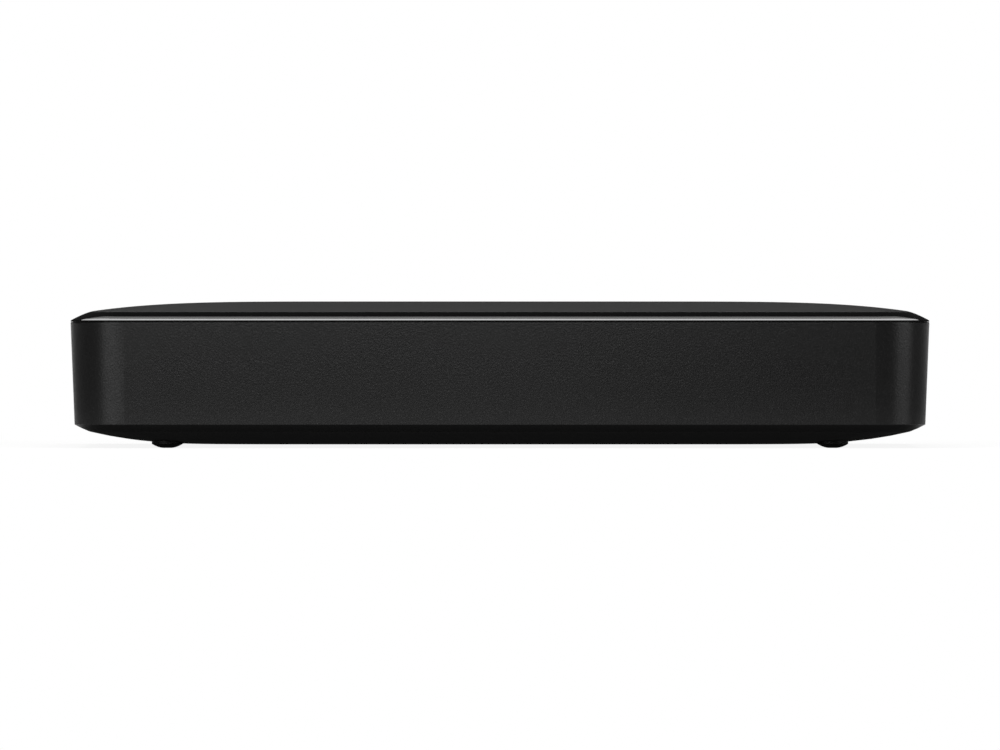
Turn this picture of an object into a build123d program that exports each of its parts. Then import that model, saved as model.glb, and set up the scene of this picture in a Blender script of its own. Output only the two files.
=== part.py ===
"""Portable external hard drive: a snapped plastic case around a 2.5-inch disk mechanism.

Millimetres, +Z up. The origin is the middle of the footprint, on the plane that the feet stand on.
The plain end faces -Y and the socket end faces +Y. Names that end in _h are heights above the underside
of the disk mechanism, and names that end in _z are heights above the feet.
"""

import os
from math import acos, atan2, cos, degrees, radians, sin, sqrt, tan

from build123d import *

os.makedirs("parts", exist_ok=True)

# Disks, spindle and motor
platter_radius = 32.5
platter_bore_radius = 10.0
platter_thickness = 0.635
bore_gap = 0.05
spacer_width = 2.2
clamp_thickness = 0.52
clamp_bevel = 0.17
clamp_drop = 0.1
clamp_hole_radius = 0.7
clamp_hole_circle = 5.0
clamp_screw_radius = 1.0
clamp_screw_length = 2.4
clamp_head_radius = 2.4
clamp_head_height = 0.4
clamp_key = 1.3
clamp_key_depth = 0.25
shaft_radius = 1.48
shaft_gap = 0.02
sleeve_wall = 1.5
sleeve_plate = 0.4
sleeve_foot_h = 0.4
shaft_end_gap = 0.1
hub_gap = 0.2
flange_width = 1.6
skirt_wall = 1.8
skirt_gap = 0.4
magnet_wall = 0.5
magnet_height = 1.5
motor_floor_h = 1.2
motor_gap = 0.6
stator_gap = 0.3
stator_lift = 0.5
stator_height = 1.0
stator_ring = 1.5
stator_boss_wall = 0.66
stator_teeth = 9
tooth_width = 1.1
tooth_shoe = 0.7
shoe_angle = 26.0
coil_wire = 0.35
coil_length = 1.7
press_gap = 0.02

# Heads, arms and pivot
outer_arm = 0.6
middle_arm = 0.8
arm_lift = 0.3
beam_thickness = 0.12
slider_height = 0.25
slider_length = 1.25
slider_width = 1.0
fly_gap = 0.1
head_reach = 35.2
arm_reach = 21.5
arm_root_radius = 5.4
arm_tip_radius = 2.3
arm_slot_start = 9.5
arm_slot_length = 10.0
arm_slot_width = 2.2
beam_root_radius = 1.9
beam_tip_radius = 0.45
tab_length = 2.6
tab_width = 0.7
park_margin = 1.9
inner_track = 14.0
pivot_x = 11.0
pivot_radius = 1.6
pivot_gap = 0.04
pivot_flange = 1.0
pivot_flange_height = 0.2
bearing_radius = 4.0
block_radius = 6.2
block_gap = 0.96
pivot_boss_radius = 3.4
pivot_foot_h = 0.5

# Voice-coil motor
yoke_thickness = 0.8
vcm_magnet = 1.0
coil_gap = 0.25
coil_thickness = 1.4
coil_start = 8.2
coil_end = 17.6
coil_start_half = 3.4
coil_end_half = 7.0
coil_corner = 1.4
coil_winding = 2.2
fork_wall = 1.3
fork_start = 5.0
fork_end = 15.0
yoke_inner = 7.4
yoke_outer = 18.6
yoke_margin = 30.0
magnet_margin = 14.0
leg_angle = 4.0
leg_inner = 12.0

# Parking ramp, flexible circuit, bracket and filter
ramp_reach = 1.2
ramp_spine = 2.2
ramp_slot_gap = 0.6
ramp_tab_gap = 0.12
ramp_back_angle = 7.0
ramp_front_angle = 2.5
ramp_edge_gap = 0.6
ramp_top_gap = 0.3
ramp_pocket_gap = 0.2
bracket_x = -12.0
bracket_y = 8.0
bracket_length = 16.0
bracket_depth = 7.0
bracket_plate = 0.8
bracket_wall = 1.0
bracket_height = 3.6
plug_height = 2.0
plug_depth = 3.4
plug_inset = 1.5
flex_thickness = 0.15
flex_width = 1.6
flex_gap = 0.02
flex_angle = 125.0
filter_x = -25.0
filter_y = 12.0
filter_length = 11.0
filter_depth = 2.4
filter_height = 4.6
filter_angle = 40.0
filter_corner = 0.8

# Mechanism housing
shroud_gap = 0.6
shroud_wall = 1.825
drive_front_wall = 2.1
drive_length = 100.2
drive_corner = 2.5
bay_wall = 3.4
bay_start = 20.0
bay_rear_wall = 7.1
bay_corner = 8.0
board_pocket = 2.2
floor_web = 0.9
cover_clearance = 0.25
gasket_thickness = 0.15
gasket_inset = 0.4
gasket_width = 0.9
cover_sheet = 0.4
cover_emboss = 0.15
cover_inset = 0.3
emboss_inset = 3.0
cover_screw_radius = 0.75
cover_screw_length = 3.2
cover_screw_inset = 3.0
cover_screw_gap = 0.06
cover_head_radius = 1.6
cover_head_height = 0.3
cover_key = 0.75
cover_key_depth = 0.2
mid_screw_reach = 17.4
mount_hole_radius = 1.5
mount_hole_depth = 2.5
mount_hole_h = 3.0
mount_hole_rear = 14.0
mount_hole_pitch = 76.6

# Circuit board and socket
board_h = 0.35
board_thickness = 0.8
board_clear = 0.3
board_front = 17.0
board_rear_gap = 0.4
board_corner = 1.5
board_screw_radius = 0.7
board_screw_gap = 0.06
board_screw_length = 2.2
board_screw_inset = 3.6
board_head_radius = 1.5
board_head_height = 0.28
board_boss_radius = 1.9
insulator_thickness = 0.12
insulator_inset = 1.0
controller_size = 9.0
controller_height = 0.75
controller_x = -10.0
controller_y = 17.0
driver_size = 7.0
driver_height = 0.7
driver_x = -20.0
driver_y = 9.0
memory_length = 10.0
memory_width = 6.0
memory_height = 0.8
memory_x = 22.0
memory_y = 31.0
chip_bevel = 0.12
socket_x = 8.0
socket_width = 12.6
socket_height = 2.5
socket_split = 1.2
socket_chamfer = 0.7
socket_corner = 0.2
socket_sheet = 0.28
socket_depth = 7.6
socket_recess = 0.5
socket_gap = 0.2
socket_notch_gap = 0.3
tongue_block = 1.8
tongue_thickness = 0.6
tongue_front = 0.9
tongue_wide = 4.6
tongue_narrow = 3.0
contact_count = 5
contact_width = 0.26
contact_thickness = 0.1
contact_length = 3.4
led_x = -7.0
led_length = 1.6
led_depth = 0.8
led_height = 0.6
pipe_radius = 0.9
pipe_gap = 0.08
pipe_flange = 0.6
pipe_flange_length = 0.5
pipe_led_gap = 0.15

# Case
wall = 1.5
floor = 1.3
lid_wall = 1.2
side_room = 4.575
front_room = 6.6
rear_room = 1.2
drive_lift = 0.69
headroom = 1.0
drive_well_gap = 0.4
corner_radius = 5.2
side_draft = 2.27
foot_proud = 0.31
belly_rise = 1.94
belly_bevel = 1.5
belly_bevel_rise = 0.69
belly_slope = 0.56
belly_run = 14.0
belly_power = 2.8
seam_gap = 0.15
reveal_depth = 0.2
rim_round = 0.1
bevel_width = 2.0
bevel_rise = 0.88
bevel_slope = 0.566
crown_rise = 0.94
crown_run = 25.0
crown_power = 4.0
corner_spread = 0.35
corner_limit = 0.95
lip_gap = 0.2
lip_wall = 0.9
lip_depth = 2.2
snap_proud = 0.32
snap_height = 0.8
snap_drop = 0.5
snap_length = 9.0
snap_pitch = 32.0
snap_gap = 0.1
rib_x = 20.0
rib_width = 1.0
rib_length = 76.0
rib_gap = 0.2
rib_root = 0.2
foot_radius = 1.48
foot_inset = 9.2
foot_dome = 0.39
foot_dome_middle = 0.11
foot_land = 0.35
foot_depth = 0.6
foot_gap = 0.03
mount_length = 8.0
mount_corner = 1.0
mount_low = 1.5
mount_high = 3.5
mount_pin_length = 2.1
mount_pin_gap = 0.12
mount_gap = 0.1
mount_rib = 1.2
mount_rib_drop = 0.8
mount_shelf_gap = 0.5
shell_bite = 0.3

# Heights of the mechanism, from its underside up
floor_h = board_pocket + floor_web
head_stack = beam_thickness + slider_height + fly_gap
disk_gap = 2 * head_stack + middle_arm
low_arm_h = floor_h + arm_lift
low_platter_h = low_arm_h + outer_arm + head_stack
spacer_h = low_platter_h + platter_thickness
mid_arm_h = spacer_h + head_stack
high_platter_h = spacer_h + disk_gap
clamp_h = high_platter_h + platter_thickness
high_arm_h = clamp_h + head_stack
block_top_h = high_arm_h + outer_arm
rim_h = block_top_h + cover_clearance
cover_h = rim_h + gasket_thickness
sheet_top_h = cover_h + cover_sheet
drive_height = sheet_top_h + cover_emboss
board_top_h = board_h + board_thickness
yoke_low_h = floor_h
magnet_low_h = yoke_low_h + yoke_thickness
voice_coil_h = magnet_low_h + vcm_magnet + coil_gap
magnet_high_h = voice_coil_h + coil_thickness + coil_gap
yoke_high_h = magnet_high_h + vcm_magnet

# Plan of the mechanism, from the middle of its footprint
drive_width = 2 * (platter_radius + shroud_gap + shroud_wall)
spindle_y = -drive_length / 2 + drive_front_wall + shroud_gap + platter_radius
pivot_distance = platter_radius + block_radius + block_gap
pivot_y = spindle_y + sqrt(pivot_distance**2 - pivot_x**2)
bay_width = drive_width - 2 * bay_wall
bay_front_y = spindle_y + bay_start
bay_rear_y = drive_length / 2 - bay_rear_wall
bay_length = bay_rear_y - bay_front_y
bay_y = (bay_rear_y + bay_front_y) / 2
board_front_y = spindle_y + board_front
board_rear_y = drive_length / 2 - board_rear_gap
board_width = bay_width - 2 * board_clear
board_length = board_rear_y - board_front_y
board_y = (board_rear_y + board_front_y) / 2
park_radius = platter_radius + park_margin
link_square = pivot_distance**2 + head_reach**2
link_product = 2 * pivot_distance * head_reach
line_angle = degrees(atan2(spindle_y - pivot_y, -pivot_x))
park_swing = degrees(acos((link_square - park_radius**2) / link_product))
inner_swing = degrees(acos((link_square - inner_track**2) / link_product))
swing_range = park_swing - inner_swing
arm_angle = line_angle - park_swing
coil_angle = arm_angle + 180
tab_end = head_reach + tab_length
ramp_inner = tab_end - ramp_reach
ramp_outer = tab_end + ramp_slot_gap + ramp_spine
ramp_gap_angle = degrees(ramp_pocket_gap / ramp_outer)

# Case levels and plan
flat_z = foot_proud
edge_z = flat_z + belly_rise
drive_z = flat_z + floor + drive_lift
drive_top_z = drive_z + drive_height
top_z = drive_top_z + headroom + lid_wall
seat_z = top_z - crown_rise - bevel_rise
rim_z = seat_z - seam_gap
case_width = drive_width + 2 * (side_room + wall)
case_length = drive_length + front_room + rear_room + 2 * wall
drive_y = (front_room - rear_room) / 2
draft_slope = tan(radians(side_draft))
foot_x = case_width / 2 - foot_inset
foot_y = case_length / 2 - foot_inset

# Planes of the mechanism
drive_plane = Plane((0, drive_y, drive_z))
spindle_plane = Plane((0, drive_y + spindle_y, drive_z))
pivot_plane = Plane((pivot_x, drive_y + pivot_y, drive_z))
arm_direction = (cos(radians(arm_angle)), sin(radians(arm_angle)), 0)
arm_plane = Plane(pivot_plane.origin, x_dir=arm_direction, z_dir=(0, 0, 1))


def draft_inset(z):
    """Distance from the rim outline in to the drafted side wall at a height."""
    return (rim_z - z) * draft_slope


def bevel_height(inset):
    """Rise of the convex glossy bevel above the seat: a parabola from its start slope to its rise."""
    bend = (bevel_slope * bevel_width - bevel_rise) / bevel_width**2
    return bevel_slope * inset - bend * inset**2


def crown_height(inset):
    """Rise of the pillow-shaped top above the seat, for a distance in from the rim."""
    left = 1 - (inset - bevel_width) / crown_run
    return bevel_rise + crown_rise * (1 - left**crown_power)


def belly_drop(inset):
    """Fall of the curved underside below the side wall's lower edge, for a distance in from that edge."""
    if inset <= belly_bevel:
        bend = (belly_slope * belly_bevel - belly_bevel_rise) / belly_bevel**2
        return belly_slope * inset - bend * inset**2
    left = 1 - (inset - belly_bevel) / belly_run
    return belly_bevel_rise + (belly_rise - belly_bevel_rise) * (1 - left**belly_power)


def spread_corner(start, inset, run):
    """Corner radius that grows over a run from its start, as far as its section has room for it."""
    return min(start + corner_spread * run, corner_limit * (case_width / 2 - inset))


def lid_corner(inset):
    """Corner radius of a section of the lid: an offset on the bevel, wider towards the middle."""
    if inset <= bevel_width:
        return corner_radius - inset
    return spread_corner(corner_radius - bevel_width, inset, inset - bevel_width)


def belly_corner(inset):
    """Corner radius of a section of the underside, for a distance in from the side wall's lower edge."""
    start = corner_radius - draft_inset(edge_z)
    if inset <= belly_bevel:
        return start - inset
    return start - belly_bevel + corner_spread * (inset - belly_bevel)


bevel_stations = [bevel_width * step / 2 for step in range(3)]
crown_shares = (0, 0.08, 0.2, 0.36, 0.6, 1)
crown_stations = [bevel_width + crown_run * share for share in crown_shares]
belly_stations = [belly_bevel + belly_run * share for share in (1, 0.65, 0.4, 0.2, 0.08, 0)]
snap_rows = [snap_pitch * step for step in (-1, 0, 1)]
cover_screw_spots = [
    (side * (drive_width / 2 - cover_screw_inset), end * (drive_length / 2 - cover_screw_inset))
    for side in (-1, 1)
    for end in (-1, 1)
]
cover_screw_spots += [
    (side * (drive_width / 2 - cover_screw_inset), spindle_y + mid_screw_reach) for side in (-1, 1)
]
board_screw_spots = [
    (side * (board_width / 2 - board_screw_inset), end)
    for side in (-1, 1)
    for end in (board_front_y + board_screw_inset, board_rear_y - board_screw_inset)
]
mount_rows = [drive_length / 2 - mount_hole_rear, drive_length / 2 - mount_hole_rear - mount_hole_pitch]


def snap_sketch(grow):
    """Triangular snap ridge on both long sides, drawn across the case; grow widens it into its groove."""
    face = case_width / 2 - wall - lip_gap
    top = seat_z - snap_drop + grow
    low = seat_z - snap_drop - snap_height - grow
    with BuildSketch() as snap:
        with BuildLine():
            Polyline(
                (face - lip_wall / 2, top),
                (face, top),
                (face + snap_proud + grow, (top + low) / 2),
                (face, low),
                (face - lip_wall / 2, low),
                close=True,
            )
        make_face()
        mirror(about=Plane.YZ)
    return snap.sketch


def cavity_sketch(grow):
    """Outline of the disk chamber: a round shroud joined to the bay for the arms."""
    with BuildSketch() as cavity:
        with Locations((0, spindle_y)):
            Circle(platter_radius + shroud_gap + grow)
        with Locations((0, bay_y)):
            RectangleRounded(bay_width + 2 * grow, bay_length + 2 * grow, bay_corner + grow)
    return cavity.sketch


def sector_sketch(inner, outer, start, end):
    """Part of a flat ring between two angles."""
    first = (cos(radians(start)), sin(radians(start)))
    last = (cos(radians(end)), sin(radians(end)))
    with BuildSketch() as sector:
        with BuildLine():
            CenterArc((0, 0), inner, start, end - start)
            CenterArc((0, 0), outer, start, end - start)
            Line((inner * first[0], inner * first[1]), (outer * first[0], outer * first[1]))
            Line((inner * last[0], inner * last[1]), (outer * last[0], outer * last[1]))
        make_face()
    return sector.sketch


def socket_sketch(grow):
    """Outline of the two-lobed socket, wider than it is high, grown or shrunk by a margin."""
    half = socket_width / 2 + grow
    top = socket_height / 2 + grow
    cut = socket_chamfer
    with BuildSketch() as socket:
        with BuildLine():
            Polyline(
                (-half, top),
                (half, top),
                (half, cut - top),
                (half - cut, -top),
                (socket_split + cut, -top),
                (socket_split, cut - top),
                (socket_split - cut, -top),
                (cut - half, -top),
                (-half, cut - top),
                close=True,
            )
        make_face()
    return socket.sketch


# Lower half of the case: drafted walls, a curved underside, a drive well, pockets for the shock mounts
with BuildPart() as bottom_case:
    for inset in belly_stations:
        across = draft_inset(edge_z) + inset
        with BuildSketch(Plane.XY.offset(edge_z - belly_drop(inset))):
            RectangleRounded(case_width - 2 * across, case_length - 2 * across, belly_corner(inset))
    loft()
    for inset in (belly_bevel, belly_bevel / 2, 0):
        across = draft_inset(edge_z) + inset
        with BuildSketch(Plane.XY.offset(edge_z - belly_drop(inset))):
            RectangleRounded(case_width - 2 * across, case_length - 2 * across, belly_corner(inset))
    loft()
    for z in (edge_z, rim_z):
        across = draft_inset(z)
        with BuildSketch(Plane.XY.offset(z)):
            RectangleRounded(case_width - 2 * across, case_length - 2 * across, corner_radius - across)
    loft(ruled=True)
    fillet(bottom_case.edges().filter_by_position(Axis.Z, rim_z, rim_z), rim_round)
    with BuildSketch(Plane.XY.offset(rim_z)):
        RectangleRounded(
            case_width - 2 * reveal_depth, case_length - 2 * reveal_depth, corner_radius - reveal_depth
        )
    extrude(amount=seam_gap)
    for inset in belly_stations:
        across = draft_inset(edge_z) + wall + inset
        with BuildSketch(Plane.XY.offset(edge_z + floor - belly_drop(inset))):
            RectangleRounded(case_width - 2 * across, case_length - 2 * across, belly_corner(inset) - wall)
    loft(mode=Mode.SUBTRACT)
    for inset in (belly_bevel, 0):
        across = draft_inset(edge_z) + wall + inset
        with BuildSketch(Plane.XY.offset(edge_z + floor - belly_drop(inset))):
            RectangleRounded(case_width - 2 * across, case_length - 2 * across, belly_corner(inset) - wall)
    loft(ruled=True, mode=Mode.SUBTRACT)
    for z in (edge_z + floor, rim_z, seat_z):
        across = max(draft_inset(z), 0) + wall
        with BuildSketch(Plane.XY.offset(z)):
            RectangleRounded(case_width - 2 * across, case_length - 2 * across, corner_radius - across)
    loft(ruled=True, mode=Mode.SUBTRACT)
    with BuildSketch(drive_plane.offset(-drive_well_gap)):
        RectangleRounded(
            drive_width + 2 * drive_well_gap, drive_length + 2 * drive_well_gap, drive_corner + drive_well_gap
        )
    extrude(amount=drive_well_gap + drive_height, mode=Mode.SUBTRACT)
    for side in (-1, 1):
        shelf_start = drive_width / 2 + mount_shelf_gap
        shelf_end = case_width / 2 - wall - draft_inset(drive_z + mount_low) + shell_bite
        shelf_x = side * (shelf_start + shelf_end) / 2
        with BuildSketch(drive_plane):
            with Locations(*[(shelf_x, row) for row in mount_rows]):
                Rectangle(shelf_end - shelf_start, mount_length + 2 * (mount_gap + mount_rib))
        extrude(amount=mount_low)
        rib_reach = mount_length / 2 + mount_gap + mount_rib / 2
        with BuildSketch(drive_plane.offset(mount_low)):
            with Locations(*[(shelf_x, row + rib_reach * turn) for row in mount_rows for turn in (-1, 1)]):
                Rectangle(shelf_end - shelf_start, mount_rib)
        extrude(amount=mount_hole_h + mount_high - mount_low - mount_rib_drop)
    for row in snap_rows:
        with BuildSketch(Plane.XZ.offset(-row)):
            add(snap_sketch(snap_gap))
        extrude(amount=snap_length / 2 + snap_gap, both=True, mode=Mode.SUBTRACT)
    with BuildSketch(Plane.XY):
        with GridLocations(2 * foot_x, 2 * foot_y, 2, 2):
            Circle(foot_radius + foot_gap)
    extrude(amount=flat_z + foot_depth, mode=Mode.SUBTRACT)
    socket_z = drive_z + board_top_h + socket_height / 2
    wall_start = drive_y + drive_length / 2
    wall_cut = case_length / 2 - wall_start
    with BuildSketch(Plane((socket_x, case_length / 2, socket_z), x_dir=(1, 0, 0), z_dir=(0, -1, 0))):
        RectangleRounded(
            socket_width + 2 * socket_gap, socket_height + 2 * socket_gap, socket_corner + socket_gap
        )
    extrude(amount=wall_cut, mode=Mode.SUBTRACT)
    pipe_z = drive_z + board_top_h + led_height / 2
    pipe_face = case_length / 2 - wall - draft_inset(pipe_z + pipe_radius + pipe_flange)
    with BuildSketch(Plane((led_x, case_length / 2, pipe_z), x_dir=(1, 0, 0), z_dir=(0, -1, 0))):
        Circle(pipe_radius + pipe_gap)
    extrude(amount=wall_cut, mode=Mode.SUBTRACT)
    with BuildSketch(Plane((led_x, pipe_face, pipe_z), x_dir=(1, 0, 0), z_dir=(0, -1, 0))):
        Circle(pipe_radius + pipe_flange + pipe_gap)
    extrude(amount=pipe_face - wall_start, mode=Mode.SUBTRACT)
bottom_case.part.label = "bottom_case"
export_step(bottom_case.part, "parts/bottom_case.step")

# Upper half of the case: glossy bevel, crowned top, a locating lip with snap ridges and two hold-down ribs
with BuildPart() as top_cover:
    for inset in bevel_stations:
        with BuildSketch(Plane.XY.offset(seat_z + bevel_height(inset))):
            RectangleRounded(case_width - 2 * inset, case_length - 2 * inset, lid_corner(inset))
    loft()
    for inset in crown_stations:
        with BuildSketch(Plane.XY.offset(seat_z + crown_height(inset))):
            RectangleRounded(case_width - 2 * inset, case_length - 2 * inset, lid_corner(inset))
    loft()
    lip_outside = wall + lip_gap
    lip_inside = lip_outside + lip_wall
    with BuildSketch(Plane.XY.offset(seat_z - lip_depth)):
        RectangleRounded(
            case_width - 2 * lip_outside, case_length - 2 * lip_outside, corner_radius - lip_outside
        )
    extrude(amount=lip_depth)
    for row in snap_rows:
        with BuildSketch(Plane.XZ.offset(-row)):
            add(snap_sketch(0))
        extrude(amount=snap_length / 2, both=True)
    ceiling_z = seat_z + crown_height(lip_inside) - lid_wall
    with BuildSketch(Plane.XY.offset(seat_z - lip_depth)):
        RectangleRounded(
            case_width - 2 * lip_inside, case_length - 2 * lip_inside, corner_radius - lip_inside
        )
    extrude(amount=ceiling_z - seat_z + lip_depth, mode=Mode.SUBTRACT)
    for share in crown_shares:
        inset = lip_inside + (bevel_width + crown_run - lip_inside) * share
        with BuildSketch(Plane.XY.offset(seat_z + crown_height(inset) - lid_wall)):
            RectangleRounded(
                case_width - 2 * inset,
                case_length - 2 * inset,
                spread_corner(corner_radius - lip_inside, inset, inset - lip_inside),
            )
    loft(mode=Mode.SUBTRACT)
    rib_z = drive_top_z + rib_gap
    with BuildSketch(Plane.XY.offset(rib_z)):
        with Locations((-rib_x, drive_y), (rib_x, drive_y)):
            Rectangle(rib_width, rib_length)
    extrude(amount=top_z - lid_wall + rib_root - rib_z)
top_cover.part.label = "top_cover"
export_step(top_cover.part, "parts/top_cover.step")

# Four rubber feet, each a domed button in a round recess
for end_name, end in (("front", -1), ("rear", 1)):
    for side_name, side in (("left", -1), ("right", 1)):
        foot_name = "foot_" + end_name + "_" + side_name
        with BuildPart() as foot:
            with BuildSketch(Plane((side * foot_x, end * foot_y, 0), x_dir=(1, 0, 0), z_dir=(0, -1, 0))):
                with BuildLine():
                    Line((0, 0), (foot_land, 0))
                    ThreePointArc(
                        (foot_land, 0),
                        ((foot_land + foot_radius) / 2, foot_dome_middle),
                        (foot_radius, foot_dome),
                    )
                    Polyline((foot_radius, foot_dome), (foot_radius, flat_z + foot_depth))
                    Polyline((foot_radius, flat_z + foot_depth), (0, flat_z + foot_depth), (0, 0))
                make_face()
            revolve(axis=Axis((side * foot_x, end * foot_y, 0), (0, 0, 1)))
        foot.part.label = foot_name
        export_step(foot.part, "parts/" + foot_name + ".step")

# Four rubber shock mounts, each a block in a pocket of the case with a pin in the mechanism's side hole
for row_name, row in zip(("rear", "front"), mount_rows):
    for side_name, side in (("left", -1), ("right", 1)):
        mount_name = "shock_mount_" + row_name + "_" + side_name
        mount_end = case_width / 2 - wall - draft_inset(drive_z + mount_low) - mount_gap
        mount_depth = mount_end - drive_width / 2
        mount_plane = Plane((side * mount_end, drive_y + row, drive_z), x_dir=(0, 1, 0), z_dir=(1, 0, 0))
        mount_top = mount_hole_h + mount_high
        with BuildPart() as shock_mount:
            with BuildSketch(mount_plane):
                with Locations((0, (mount_low + mount_top) / 2)):
                    RectangleRounded(mount_length, mount_top - mount_low, mount_corner)
            extrude(amount=-side * mount_depth)
            with BuildSketch(mount_plane):
                with Locations((0, mount_hole_h)):
                    Circle(mount_hole_radius - mount_pin_gap)
            extrude(amount=-side * (mount_depth + mount_pin_length))
        shock_mount.part.label = mount_name
        export_step(shock_mount.part, "parts/" + mount_name + ".step")

# Cast base of the mechanism: disk chamber, arm bay, motor well, board pocket, socket notch and screw holes
with BuildPart() as drive_base:
    with BuildSketch(drive_plane):
        RectangleRounded(drive_width, drive_length, drive_corner)
    extrude(amount=rim_h)
    with BuildSketch(drive_plane.offset(floor_h)):
        add(cavity_sketch(0))
    extrude(amount=rim_h - floor_h, mode=Mode.SUBTRACT)
    pocket_start = -ramp_back_angle - ramp_gap_angle
    pocket_end = ramp_front_angle + ramp_gap_angle
    with BuildSketch(arm_plane.offset(floor_h)):
        add(sector_sketch(ramp_inner, ramp_outer + ramp_pocket_gap, pocket_start, pocket_end))
    extrude(amount=rim_h - floor_h, mode=Mode.SUBTRACT)
    skirt_inner = platter_bore_radius - bore_gap - skirt_wall / 2 + magnet_wall
    skirt_outer = platter_bore_radius - bore_gap + flange_width
    sleeve_radius = shaft_radius + shaft_gap + sleeve_wall
    boss_radius = sleeve_radius + press_gap + stator_boss_wall
    stator_h = motor_floor_h + stator_lift
    with BuildSketch(spindle_plane.offset(motor_floor_h)):
        Circle(skirt_outer + motor_gap)
    extrude(amount=floor_h - motor_floor_h, mode=Mode.SUBTRACT)
    with BuildSketch(spindle_plane.offset(motor_floor_h)):
        Circle(boss_radius + stator_ring / 2)
    extrude(amount=stator_lift)
    with BuildSketch(spindle_plane.offset(motor_floor_h)):
        Circle(boss_radius)
    extrude(amount=stator_lift + stator_height)
    with BuildSketch(spindle_plane):
        Circle(sleeve_radius + press_gap)
    extrude(amount=floor_h, mode=Mode.SUBTRACT)
    with BuildSketch(drive_plane):
        with Locations((0, (board_front_y - board_clear + drive_length / 2) / 2)):
            Rectangle(bay_width, drive_length / 2 - board_front_y + board_clear)
    extrude(amount=board_pocket, mode=Mode.SUBTRACT)
    with BuildSketch(pivot_plane.offset(pivot_foot_h)):
        Circle(pivot_boss_radius)
    extrude(amount=floor_h - pivot_foot_h)
    with BuildSketch(pivot_plane):
        Circle(pivot_radius + press_gap)
    extrude(amount=floor_h, mode=Mode.SUBTRACT)
    with BuildSketch(drive_plane.offset(board_top_h)):
        with Locations(*board_screw_spots):
            Circle(board_boss_radius)
    extrude(amount=board_pocket - board_top_h)
    with BuildSketch(drive_plane):
        with Locations(*board_screw_spots):
            Circle(board_screw_radius + board_screw_gap)
    extrude(amount=board_h + board_screw_length + board_screw_gap, mode=Mode.SUBTRACT)
    notch_rear = case_length / 2 - draft_inset(socket_z) - socket_recess - drive_y
    notch_front = notch_rear - socket_depth - socket_notch_gap
    notch_length = drive_length / 2 - notch_front
    with BuildSketch(drive_plane):
        with Locations((socket_x, notch_front + notch_length / 2)):
            Rectangle(socket_width + 2 * socket_notch_gap, notch_length)
    extrude(amount=board_top_h + socket_height + socket_notch_gap, mode=Mode.SUBTRACT)
    with BuildSketch(drive_plane.offset(rim_h)):
        with Locations(*cover_screw_spots):
            Circle(cover_screw_radius + cover_screw_gap)
    extrude(amount=-cover_screw_length - cover_screw_gap, mode=Mode.SUBTRACT)
    for side in (-1, 1):
        hole_plane = Plane((side * drive_width / 2, drive_y, drive_z), x_dir=(0, 1, 0), z_dir=(1, 0, 0))
        with BuildSketch(hole_plane):
            with Locations(*[(row, mount_hole_h) for row in mount_rows]):
                Circle(mount_hole_radius)
        extrude(amount=-side * mount_hole_depth, mode=Mode.SUBTRACT)
drive_base.part.label = "drive_base"
export_step(drive_base.part, "parts/drive_base.step")

# Seal between the base and its cover, along the edge of the chamber
with BuildPart() as cover_gasket:
    with BuildSketch(drive_plane.offset(rim_h)):
        add(cavity_sketch(gasket_inset + gasket_width))
        add(cavity_sketch(gasket_inset), mode=Mode.SUBTRACT)
    extrude(amount=gasket_thickness)
cover_gasket.part.label = "cover_gasket"
export_step(cover_gasket.part, "parts/cover_gasket.step")

# Pressed sheet cover with a raised field over the disks and arms
with BuildPart() as drive_cover:
    with BuildSketch(drive_plane.offset(cover_h)):
        RectangleRounded(
            drive_width - 2 * cover_inset, drive_length - 2 * cover_inset, drive_corner - cover_inset
        )
    extrude(amount=cover_sheet)
    with BuildSketch(drive_plane.offset(sheet_top_h)):
        add(cavity_sketch(-emboss_inset))
    extrude(amount=cover_emboss)
    with BuildSketch(drive_plane.offset(cover_h)):
        add(cavity_sketch(-emboss_inset - cover_sheet))
    extrude(amount=cover_emboss, mode=Mode.SUBTRACT)
    with BuildSketch(drive_plane.offset(cover_h)):
        with Locations(*cover_screw_spots):
            Circle(cover_screw_radius + cover_screw_gap)
    extrude(amount=cover_sheet, mode=Mode.SUBTRACT)
drive_cover.part.label = "drive_cover"
export_step(drive_cover.part, "parts/drive_cover.step")

# Six cover screws
with BuildPart() as cover_screws:
    with BuildSketch(drive_plane.offset(rim_h - cover_screw_length)):
        with Locations(*cover_screw_spots):
            Circle(cover_screw_radius)
    extrude(amount=sheet_top_h - rim_h + cover_screw_length)
    with BuildSketch(drive_plane.offset(sheet_top_h)):
        with Locations(*cover_screw_spots):
            Circle(cover_head_radius)
    extrude(amount=cover_head_height)
    with BuildSketch(drive_plane.offset(sheet_top_h + cover_head_height)):
        with Locations(*cover_screw_spots):
            RegularPolygon(cover_key, 6)
    extrude(amount=-cover_key_depth, mode=Mode.SUBTRACT)
cover_screws.part.label = "cover_screws"
export_step(cover_screws.part, "parts/cover_screws.step")

# Fluid-bearing sleeve of the motor, closed at its foot
with BuildPart() as motor_sleeve:
    with BuildSketch(spindle_plane.offset(sleeve_foot_h)):
        Circle(sleeve_radius)
    extrude(amount=floor_h - sleeve_foot_h)
    with BuildSketch(spindle_plane.offset(sleeve_foot_h + sleeve_plate)):
        Circle(shaft_radius + shaft_gap)
    extrude(amount=floor_h - sleeve_foot_h - sleeve_plate, mode=Mode.SUBTRACT)
motor_sleeve.part.label = "motor_sleeve"
export_step(motor_sleeve.part, "parts/motor_sleeve.step")

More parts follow.
